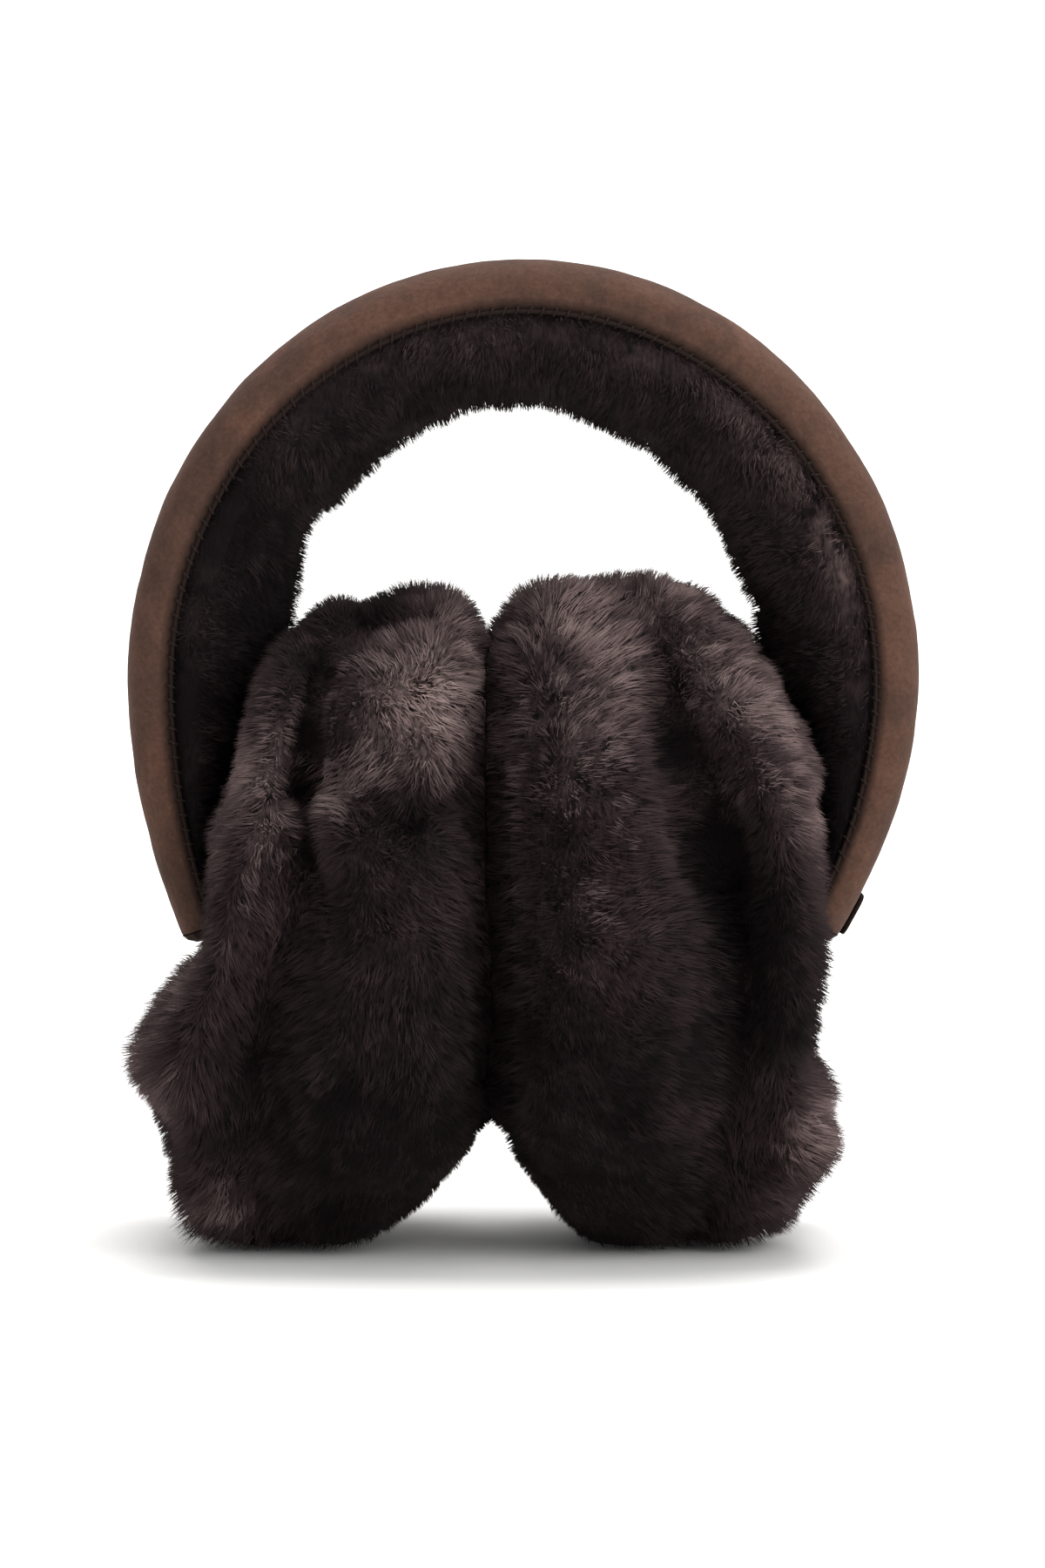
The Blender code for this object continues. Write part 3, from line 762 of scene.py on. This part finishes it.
def strand_mesh(name, roots, bends, tips, normals, widths, tints, curved, chance):
    """One joined mesh of closed strands with three sides: straight ones, and curved ones with a bend.
    Its strand map holds each strand's tint, and how far along it a corner is. The strands are shaded
    much as the coat's surface is, because a real strand is far finer than one that can be drawn."""
    axis = unit(tips - roots)
    wild = unit(chance.normal(size=roots.shape))
    side = unit(np.cross(axis, wild))
    other = np.cross(axis, side)
    ring = [side * math.cos(a) + other * math.sin(a) for a in (0, 2 * math.pi / 3, 4 * math.pi / 3)]
    half = widths[:, None] / 2
    straight = ~curved

    base = np.stack([roots + r * half for r in ring], axis=1)
    plain = np.concatenate([base[straight], tips[straight][:, None]], axis=1)
    waist = np.stack([bends + r * half * 0.85 for r in ring], axis=1)
    bent = np.concatenate([base[curved], waist[curved], tips[curved][:, None]], axis=1)
    plain_faces = np.array([[0, 2, 1], [0, 1, 3], [1, 2, 3], [2, 0, 3]])
    bent_faces = np.array([[0, 2, 1], [0, 1, 4], [0, 4, 3], [1, 2, 5], [1, 5, 4], [2, 0, 3], [2, 3, 5],
                           [3, 4, 6], [4, 5, 6], [5, 3, 6]])
    start = len(plain) * 4
    faces = np.concatenate([
        (np.arange(len(plain))[:, None, None] * 4 + plain_faces).reshape(-1, 3),
        (start + np.arange(len(bent))[:, None, None] * 7 + bent_faces).reshape(-1, 3)])
    spots = np.concatenate([plain.reshape(-1, 3), bent.reshape(-1, 3)])
    sides = np.stack([unit(normals + r * 0.45) for r in ring], axis=1)
    ends = unit(normals + axis * 0.3)[:, None]
    shading = np.concatenate([
        np.concatenate([sides[straight], ends[straight]], axis=1).reshape(-1, 3),
        np.concatenate([sides[curved], sides[curved], ends[curved]], axis=1).reshape(-1, 3)])
    along = np.concatenate([np.tile([0, 0, 0, 1.0], len(plain)),
                            np.tile([0, 0, 0, 0.5, 0.5, 0.5, 1.0], len(bent))])
    tint = np.concatenate([np.repeat(tints[straight], 4), np.repeat(tints[curved], 7)])

    mesh = bpy.data.meshes.new(name)
    mesh.vertices.add(len(spots))
    mesh.vertices.foreach_set("co", spots.astype(np.float32).ravel())
    mesh.loops.add(faces.size)
    mesh.loops.foreach_set("vertex_index", faces.astype(np.int32).ravel())
    mesh.polygons.add(len(faces))
    mesh.polygons.foreach_set("loop_start", np.arange(0, faces.size, 3, dtype=np.int32))
    mesh.update(calc_edges=True)
    chart = mesh.uv_layers.new(name="strand")
    pairs = np.stack([tint[faces.ravel()], along[faces.ravel()]], axis=1).astype(np.float32)
    chart.uv.foreach_set("vector", pairs.ravel())
    mesh.shade_smooth()
    mesh.normals_split_custom_set_from_vertices(shading)
    return mesh


def search_tree(objects):
    """A search tree over objects, for keeping the pelts and the fleece out of them."""
    bm = bmesh.new()
    for solid in objects:
        bm.from_mesh(solid.data)
    tree = BVHTree.FromBMesh(bm)
    bm.free()
    return tree


def clear_of(tree, points, room):
    """True for each point that is outside the tree's solids and at least room away from them."""
    clear = np.ones(len(points), bool)
    for k, point in enumerate(points):
        near, normal, _, distance = tree.find_nearest(point, 0.006)
        if near is not None and ((Vector(point) - near).dot(normal) < 0 or distance < room):
            clear[k] = False
    return clear


def tint_pelt(pelt, tone_and_painted_light):
    """Gives a pelt the strand map of the fleece that grows on it, so that its colour, with its painted
    light and shade, goes with it.
    """
    mesh = pelt.data
    spots = np.empty(len(mesh.vertices) * 3, np.float32)
    mesh.vertices.foreach_get("co", spots)
    tints = np.clip(tone_and_painted_light(spots.reshape(-1, 3).astype(float)), 0.0, 1.0)
    corners = np.empty(len(mesh.loops), np.int32)
    mesh.loops.foreach_get("vertex_index", corners)
    chart = mesh.uv_layers.new(name="strand")
    pairs = np.stack([tints[corners], np.zeros(len(corners))], axis=1).astype(np.float32)
    chart.uv.foreach_set("vector", pairs.ravel())


def grow(name, pelt, count, rule, coat, material, seed, band):
    """Grows a fleece on a pelt. The rule gives the weights of the pelt's triangles, and each strand's
    lean, length, tint and limits."""
    chance = np.random.default_rng(seed)
    roots, normals = surface_points(pelt.data, count, rule["weigh"], chance)
    keep = clear_of(band, roots + normals * 0.001, 0.0004)
    roots, normals = roots[keep], normals[keep]

    lean = rule["lean"](roots, normals)
    lean -= normals * (lean * normals).sum(axis=1, keepdims=True)
    wander = chance.normal(size=roots.shape) * WANDER
    length = coat.length * rule["long"](roots) * chance.uniform(0.78, 1.15, len(roots))
    length *= 1 + 0.22 * swirl(roots, 0.009, seed + 1)
    upright = unit(normals + lean * 0.35 + wander * 0.6)
    heading = unit(normals * coat.stand + lean + wander)
    bends = roots + upright * (length * 0.5)[:, None]
    tips = roots + unit(upright * 0.5 + heading) * length[:, None]
    pull = coat.clump * chance.uniform(0.35, 1.0, len(roots))
    tips, lock, locks = gather(roots, tips, coat.lock_share, pull, chance)
    bends = bends + (tips - (roots + heading * length[:, None])) * 0.25
    roots = roots - normals * ROOT_DEPTH

    for points in (bends, tips):
        points[:, 2] = np.maximum(points[:, 2], FLOOR_ROOM)
        rule["limit"](points)
    keep = clear_of(band, tips, 0.0001) & clear_of(band, bends, 0.0001)
    # the tints carry the rule's painted light and shade, with random spread by lock and by strand
    spread = 0.12 * chance.uniform(-1, 1, locks)[lock] + 0.08 * chance.uniform(-1, 1, len(roots))
    tints = np.clip(rule["tone_and_painted_light"](roots) + spread, 0.0, 1.0)
    curved = chance.random(len(roots)) < CURVED_SHARE
    widths = coat.width * chance.uniform(0.75, 1.25, len(roots))
    arrays = [a[keep] for a in (roots, bends, tips, normals, widths, tints, curved)]
    add_piece(name, strand_mesh(name, *arrays, chance), material)


def sum_of(table, points):
    """What a table of spots adds up to at each point."""
    total = np.zeros(len(points))
    for spot in table:
        gap = np.hypot(points[:, 0] * 1000 - spot.x, points[:, 2] * 1000 - spot.z)
        total += spot.shift * np.exp(-(gap / spot.reach) ** 2)
    return total


def pad_rule(side, half):
    """How the fleece of half a pad grows: where, how it is combed, and how long it is."""
    low_valley, high_valley = VALLEYS[side]

    def beyond(points):
        return past_seam(side, points[:, 0], points[:, 2])

    def valley(points):
        inside = smooth_step(low_valley - 0.006, low_valley + 0.004, points[:, 2])
        return inside * (1 - smooth_step(high_valley - 0.004, high_valley + 0.006, points[:, 2]))

    def weigh(points, normals):
        share = (beyond(points) < 0) if half == "inner" else (beyond(points) >= 0)
        share = share * (1 - 0.97 * smooth_step(0.90, 0.99, -side * normals[:, 0]))
        return share * (1 - 0.85 * smooth_step(0.7, 0.95, -normals[:, 2]))

    def lean(points, normals):
        count = len(points)
        out = np.tile([float(side), 0.0, 0.0], (count, 1))
        down = np.tile([0.0, 0.0, -1.0], (count, 1))
        height = points[:, 2] / PAD_HEIGHT
        across, fall = COMBED[side, half]
        low = 1 - smooth_step(0.1, 0.45, height)
        parted = 0.1 + 0.9 * smooth_step(0.002, 0.014, side * (points[:, 0] - PADS_MEET))
        flow = out * ((across + 0.25 * low) * parted)[:, None] + down * (fall - 0.2 * low)[:, None]
        turn = swirl(points, 0.030, 40 + side) * 0.7
        flow += np.cross(normals, flow) * turn[:, None]
        return flow

    def long(points):
        valleys = valley(points) * (1 - smooth_step(0.002, 0.012, np.abs(beyond(points))))
        meeting = 1 - smooth_step(0.0, 0.006, np.abs(points[:, 0] - PADS_MEET))
        foot = 1 - smooth_step(0.0, 0.008, points[:, 2])
        under = 1 - smooth_step(0.022, 0.038, points[:, 2])
        under *= 1 - smooth_step(0.018, 0.036, np.abs(points[:, 0] - PADS_MEET))
        return ((1 - 0.5 * valleys) * (1 - 0.35 * meeting) * (1 - 0.4 * foot) * (1 - 0.6 * under)
                * (1 + sum_of(TUFTS[side], points)))

    def tone_and_painted_light(points):
        """Painted light and shade: lighter towards the top, where the tips catch the light from above,
        with painted highlights on the lobes and painted shade in the creases from their table, and
        random patches.
        """
        # painted light: the tips lighten from the foot up to the top, as the light from above falls
        shift = 0.12 + 0.42 * smooth_step(0.035, 0.120, points[:, 2])
        return shift + 0.07 * swirl(points, 0.024, 90 + side) + sum_of(PAINTED_LIGHT_AND_SHADE[side], points)

    def limit(points):
        meet = pads_meet(points[:, 1], points[:, 2])
        points[:, 0] = meet + side * np.maximum(side * (points[:, 0] - meet), MEET_ROOM)

    return {"weigh": weigh, "lean": lean, "long": long, "tone_and_painted_light": tone_and_painted_light, "limit": limit}


def lining_rule():
    """How the lining's fleece grows: towards the head, and a little over the seams."""
    stations = np.linspace(-1, 1, 161)
    middles = np.array([path_point(s)[:] for s in stations])
    outs = np.array([path_frame(s)[1][:] for s in stations])
    edges = np.array([edge_depth(s) for s in stations])
    piles = np.array([pile_depth(s) for s in stations])

    def nearest(points):
        flat = points * np.array([1.0, 0.0, 1.0])
        gaps = ((flat[:, None] - middles[None]) ** 2).sum(axis=2)
        return gaps.argmin(axis=1)

    def weigh(points, normals):
        at = nearest(points)
        rise = ((points - middles[at]) * outs[at]).sum(axis=1)
        below = -rise - edges[at]
        inner = smooth_step(0.6, 0.95, -(normals * outs[at]).sum(axis=1))
        return (below > 0.0002) * (1 - 0.35 * inner)

    def lean(points, normals):
        at = nearest(points)
        below = -((points - middles[at]) * outs[at]).sum(axis=1) - edges[at]
        left = smooth_step(-0.74, -0.62, stations[at]) * (1 - smooth_step(-0.30, -0.20, stations[at]))
        patches = smooth_step(0.1, 0.6, swirl(points, 0.035, 83))
        over = (1 - smooth_step(0.001, 0.007, below)) * np.maximum(left, 0.8 * patches)
        inward = outs[at] * (1.5 * over - 0.55)[:, None]
        turn = swirl(points, 0.022, 77) * 1.1 * (1 - over)
        flow = inward + np.array([0.0, 0.0, -0.25])
        return flow + np.cross(normals, flow) * turn[:, None]

    def long(points):
        return 0.30 + 0.35 * np.minimum(1.0, piles[nearest(points)] / 0.012)

    def tone_and_painted_light(points):
        """Painted light and shade: lighter at the crown and on the right side, where the light falls,
        most of all in a lit strip beside the seam, and dark towards the head as painted shade; with
        random patches.
        """
        at = nearest(points)
        below = -((points - middles[at]) * outs[at]).sum(axis=1) - edges[at]
        # painted light from above and the right, strongest beside the seam; painted shade further
        # towards the head
        crown = smooth_step(0.150, 0.195, points[:, 2])
        right = smooth_step(0.0, 0.075, points[:, 0]) * smooth_step(0.100, 0.155, points[:, 2])
        beside = 1 - smooth_step(0.004, 0.013, below)
        light = 0.30 * crown + 0.70 * right * (1 - 0.5 * crown)
        return 0.10 + light * (0.45 + 0.65 * beside) + 0.12 * swirl(points, 0.030, 61)

    def limit(points):
        """Nothing more holds the lining's strands back."""

    return {"weigh": weigh, "lean": lean, "long": long, "tone_and_painted_light": tone_and_painted_light, "limit": limit}


# Studio

def make_stage(light):
    """Seamless paper, soft lights from above and the front, one on the paper behind, and the picture's
    camera."""
    paper = studio_material("seamless paper", "#F8F7F5")
    bm = bmesh.new()
    bmesh.ops.create_grid(bm, x_segments=1, y_segments=40, size=1.0)
    for v in bm.verts:
        run = (v.co.y + 1) / 2 * PAPER_RUN
        turn = min(max(run - PAPER_FLAT, 0.0) / PAPER_BEND, math.pi / 2)
        past = max(run - PAPER_FLAT - PAPER_BEND * math.pi / 2, 0.0)
        y = min(run, PAPER_FLAT) + PAPER_BEND * math.sin(turn) + PAPER_START
        z = PAPER_BEND * (1 - math.cos(turn)) + past
        v.co = Vector((v.co.x * PAPER_HALF, y, z))
    bmesh.ops.recalc_face_normals(bm, faces=bm.faces)
    mesh = mesh_of(bm, "paper")
    mesh.materials.append(paper)
    mesh.shade_smooth()
    floor = bpy.data.objects.new("paper", mesh)
    bpy.context.scene.collection.objects.link(floor)

    for name, spot, size, power in (
            ("overhead", (0.35, -0.15, 1.25), 1.7, light.overhead),
            ("front_right", (1.10, -1.10, 0.75), 1.4, light.front),
            ("front_left", (-0.9, -1.2, 0.90), 1.6, light.fill),
            ("paper_wash", (0.0, 0.60, 1.6), 1.6, light.wash)):
        lamp = bpy.data.lights.new(name, "AREA")
        lamp.size = size
        lamp.energy = power
        holder = bpy.data.objects.new(name, lamp)
        bpy.context.scene.collection.objects.link(holder)
        holder.location = spot
        aim = Vector((0.0, 0.9, 0.3)) if name == "paper_wash" else Vector((0.0, 0.0, 0.09))
        holder.rotation_euler = (aim - Vector(spot)).to_track_quat("-Z", "Y").to_euler()
    world = bpy.context.scene.world or bpy.data.worlds.new("studio")
    bpy.context.scene.world = world
    world.use_nodes = True
    sky = world.node_tree.nodes.get("Background")
    sky.inputs["Color"].default_value = srgb("#F4F6FA")
    sky.inputs["Strength"].default_value = light.room

    aim = Vector(((MIDDLE[0] - FOOT_PIXEL[0]) * PIXEL, 0.0, (FOOT_PIXEL[1] - MIDDLE[1]) * PIXEL))
    back = Vector((0.0, -math.cos(CAMERA_RISE), math.sin(CAMERA_RISE)))
    seen = bpy.data.cameras.new("camera")
    seen.sensor_width = SENSOR
    seen.sensor_fit = "AUTO"
    seen.lens = SENSOR * CAMERA_DISTANCE / (PICTURE_HEIGHT * PIXEL)
    seen.clip_start = 0.05
    holder = bpy.data.objects.new("camera", seen)
    bpy.context.scene.collection.objects.link(holder)
    holder.location = aim + back * CAMERA_DISTANCE
    holder.rotation_euler = (-back).to_track_quat("-Z", "Y").to_euler()
    bpy.context.scene.camera = holder
    view = bpy.context.scene.view_settings
    view.view_transform = "Standard"
    view.look = "None"
    view.exposure = light.exposure


# The add-on

class EarmuffsColours(bpy.types.PropertyGroup):
    """Colours of the leather and the shearling, as sRGB hex."""
    suede_light: bpy.props.StringProperty(
        name="Suede, light", description="Suede with its nap brushed up", default="#593F34")
    suede_dark: bpy.props.StringProperty(
        name="Suede, dark", description="Suede with its nap brushed down", default="#392B24")
    # The welt's dark leather also stands in for the shadow in the seam
    leather: bpy.props.StringProperty(
        name="Leather", description="The welt and the tab", default="#241813")
    # The suede's edges are darkened towards this colour as painted shade in the seam
    seam: bpy.props.StringProperty(
        name="Seam", description="The darkest leather, in the seams", default="#150D0B")
    thread: bpy.props.StringProperty(
        name="Thread", description="The stitches", default="#281C17")
    fur_root: bpy.props.StringProperty(
        name="Fur, root", description="Fibres next to the skin", default="#0D0809")
    # The darkest and lightest tips serve mostly as painted shade in creases and low down, and painted
    # highlights on the lobes and top
    fur_dark: bpy.props.StringProperty(
        name="Fur, dark tip", description="The darkest tips", default="#0E0A0B")
    fur_tip: bpy.props.StringProperty(
        name="Fur, tip", description="Most of the fibres' tips", default="#403233")
    fur_light: bpy.props.StringProperty(
        name="Fur, light tip", description="The lightest tips", default="#A48E8A")
    lining_tip: bpy.props.StringProperty(
        name="Lining, tip", description="Tips of the lining's fibres", default="#3A2E2F")
    # The lining's lightest tips serve mostly as painted light at the crown, on the right and beside the
    # seam
    lining_light: bpy.props.StringProperty(
        name="Lining, light tip", description="The lining's lightest tips", default="#75625F")


class EarmuffsLeather(bpy.types.PropertyGroup):
    """Sizes of the band's leather and its seams."""
    puff: bpy.props.FloatProperty(
        name="Puff", description="How far the padding swells the suede", default=0.0001,
        subtype="DISTANCE", unit="LENGTH")
    dents: bpy.props.FloatProperty(
        name="Dents", description="Depth of the suede's soft dents", default=0.0003,
        subtype="DISTANCE", unit="LENGTH")
    welt: bpy.props.FloatProperty(
        name="Welt", description="Thickness of the rolled edge in the seam", default=0.0009,
        subtype="DISTANCE", unit="LENGTH")
    stitches: bpy.props.IntProperty(
        name="Stitches", description="Stitches along each side of the band", default=118)


class EarmuffsCoat(bpy.types.PropertyGroup):
    """Sizes of the fleece and the pelts under it."""
    length: bpy.props.FloatProperty(
        name="Length", description="Length of the fibres", default=0.0040,
        subtype="DISTANCE", unit="LENGTH")
    width: bpy.props.FloatProperty(
        name="Width", description="Thickness of a bundle of fibres", default=0.00031,
        subtype="DISTANCE", unit="LENGTH")
    stand: bpy.props.FloatProperty(
        name="Stand", description="How upright the fibres are", default=0.80)
    clump: bpy.props.FloatProperty(
        name="Clump", description="How far tips draw together into locks", default=0.36,
        subtype="FACTOR")
    lock_share: bpy.props.FloatProperty(
        name="Locks", description="Locks for each strand", default=0.05, subtype="FACTOR")
    pad_strands: bpy.props.IntProperty(
        name="Pad strands", description="Strands on each half of a pad", default=43500)
    lining_strands: bpy.props.IntProperty(
        name="Lining strands", description="Strands on the lining", default=41500)


class EarmuffsPelt(bpy.types.PropertyGroup):
    """Sizes of the pelts under the fleece."""
    rounding: bpy.props.FloatProperty(
        name="Rounding", description="How far the pads curve back where they meet", default=0.0075,
        subtype="DISTANCE", unit="LENGTH")
    coat_depth: bpy.props.FloatProperty(
        name="Fleece depth", description="How far the pelt lies inside the solid", default=0.0014,
        subtype="DISTANCE", unit="LENGTH")
    lumps: bpy.props.FloatProperty(
        name="Lumps", description="Depth of the pelt's lumps", default=0.0016,
        subtype="DISTANCE", unit="LENGTH")
    voxel: bpy.props.FloatProperty(
        name="Voxel", description="Grid of the pelt's mesh", default=0.0030,
        subtype="DISTANCE", unit="LENGTH")


class EarmuffsLight(bpy.types.PropertyGroup):
    """Power of the studio's lights."""
    overhead: bpy.props.FloatProperty(
        name="Overhead", description="The large light above", default=7.8,
        subtype="POWER", unit="POWER")
    front: bpy.props.FloatProperty(
        name="Front right", description="The light from the front right", default=19.5,
        subtype="POWER", unit="POWER")
    fill: bpy.props.FloatProperty(
        name="Front left", description="The weak light from the front left", default=3.5,
        subtype="POWER", unit="POWER")
    wash: bpy.props.FloatProperty(
        name="Paper", description="The light on the backdrop", default=38.0,
        subtype="POWER", unit="POWER")
    room: bpy.props.FloatProperty(
        name="Room", description="Strength of the light all round", default=0.36)
    exposure: bpy.props.FloatProperty(
        name="Exposure", description="Exposure of the picture, in stops", default=0.0)


class EARMUFFS_OT_stage(bpy.types.Operator):
    """Set up the paper, the lights and the camera"""
    bl_idname = "earmuffs.stage"
    bl_label = "Stage"

    def execute(self, context):
        make_stage(context.scene.earmuffs_light)
        return {"FINISHED"}


class EARMUFFS_OT_leather(bpy.types.Operator):
    """Make the suede cover, its seams, the band's hems and the side tab"""
    bl_idname = "earmuffs.leather"
    bl_label = "Leather"

    def execute(self, context):
        colours, sizes = context.scene.earmuffs_colours, context.scene.earmuffs_leather
        suede = suede_material(colours)
        leather = leather_material(colours)
        make_cover(sizes, suede)
        make_welt(sizes, leather)
        make_stitches(sizes, thread_material(colours))
        make_side_tab(leather)
        for name in ("left_band_end_hem", "right_band_end_hem"):
            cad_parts[name].material_slots[0].material = suede
        return {"FINISHED"}


class EARMUFFS_OT_lining(bpy.types.Operator):
    """Make the lining's pelt and grow its fleece"""
    bl_idname = "earmuffs.lining"
    bl_label = "Lining"

    def execute(self, context):
        scene = context.scene
        colours = scene.earmuffs_colours
        shades = (colours.fur_root, colours.fur_dark, colours.lining_tip, colours.lining_light)
        underfur = underfur_material("shearling underfur, lining", *shades)
        fleece = fleece_material("shearling fleece, lining", *shades)
        pads = search_tree([bpy.data.objects["left_pad_pelt"], bpy.data.objects["right_pad_pelt"]])
        pelt = lining_pelt(pads, scene.earmuffs_pelt, underfur)
        rule = lining_rule()
        tint_pelt(pelt, rule["tone_and_painted_light"])
        band = search_tree([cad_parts[name] for name in
                            ("headband_cover", "left_band_end_hem", "right_band_end_hem")])
        coat = scene.earmuffs_coat
        grow("lining_fleece", pelt, coat.lining_strands, rule, coat, fleece, 11, band)
        return {"FINISHED"}


class EARMUFFS_OT_pads(bpy.types.Operator):
    """Make the two ear pads and grow the fleece of their panels"""
    bl_idname = "earmuffs.pads"
    bl_label = "Ear pads"

    def execute(self, context):
        scene = context.scene
        colours = scene.earmuffs_colours
        shades = (colours.fur_root, colours.fur_dark, colours.fur_tip, colours.fur_light)
        underfur = underfur_material("shearling underfur, pads", *shades)
        fleece = fleece_material("shearling fleece, pads", *shades)
        band = search_tree([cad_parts[name] for name in
                            ("headband_cover", "left_band_end_hem", "right_band_end_hem", "side_tab")])
        lining = search_tree([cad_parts["headband_lining"]])
        coat = scene.earmuffs_coat
        seed = 21
        for side in (-1, 1):
            pelt = pad_pelt(side, lining, scene.earmuffs_pelt, underfur)
            tint_pelt(pelt, pad_rule(side, "outer")["tone_and_painted_light"])
            for half in ("inner", "outer"):
                name = pelt.name.replace("pelt", half + "_fleece")
                grow(name, pelt, coat.pad_strands, pad_rule(side, half), coat, fleece, seed,
                     band)
                seed += 1
        return {"FINISHED"}


class EARMUFFS_PT_panel(bpy.types.Panel):
    """Steps of the earmuffs"""
    bl_label = "Earmuffs"
    bl_space_type = "VIEW_3D"
    bl_region_type = "UI"
    bl_category = "Earmuffs"

    def draw(self, context):
        scene = context.scene
        for step in ("stage", "leather", "pads", "lining"):
            self.layout.operator("earmuffs." + step)
        for group in (scene.earmuffs_colours, scene.earmuffs_leather, scene.earmuffs_coat,
                      scene.earmuffs_pelt, scene.earmuffs_light):
            for name in group.__annotations__:
                self.layout.prop(group, name)


GROUPS = {
    "earmuffs_colours": EarmuffsColours,
    "earmuffs_leather": EarmuffsLeather,
    "earmuffs_coat": EarmuffsCoat,
    "earmuffs_pelt": EarmuffsPelt,
    "earmuffs_light": EarmuffsLight,
}
STEPS = (EARMUFFS_OT_stage, EARMUFFS_OT_leather, EARMUFFS_OT_pads, EARMUFFS_OT_lining,
         EARMUFFS_PT_panel)


def register():
    for group in GROUPS.values():
        bpy.utils.register_class(group)
    for step in STEPS:
        bpy.utils.register_class(step)
    for name, group in GROUPS.items():
        setattr(bpy.types.Scene, name, bpy.props.PointerProperty(type=group))


def unregister():
    for name in GROUPS:
        delattr(bpy.types.Scene, name)
    for step in reversed(STEPS):
        bpy.utils.unregister_class(step)
    for group in reversed(GROUPS.values()):
        bpy.utils.unregister_class(group)


def main():
    register()
    bpy.ops.earmuffs.stage()
    bpy.ops.earmuffs.leather()
    bpy.ops.earmuffs.pads()
    bpy.ops.earmuffs.lining()


if __name__ == "__main__":
    main()
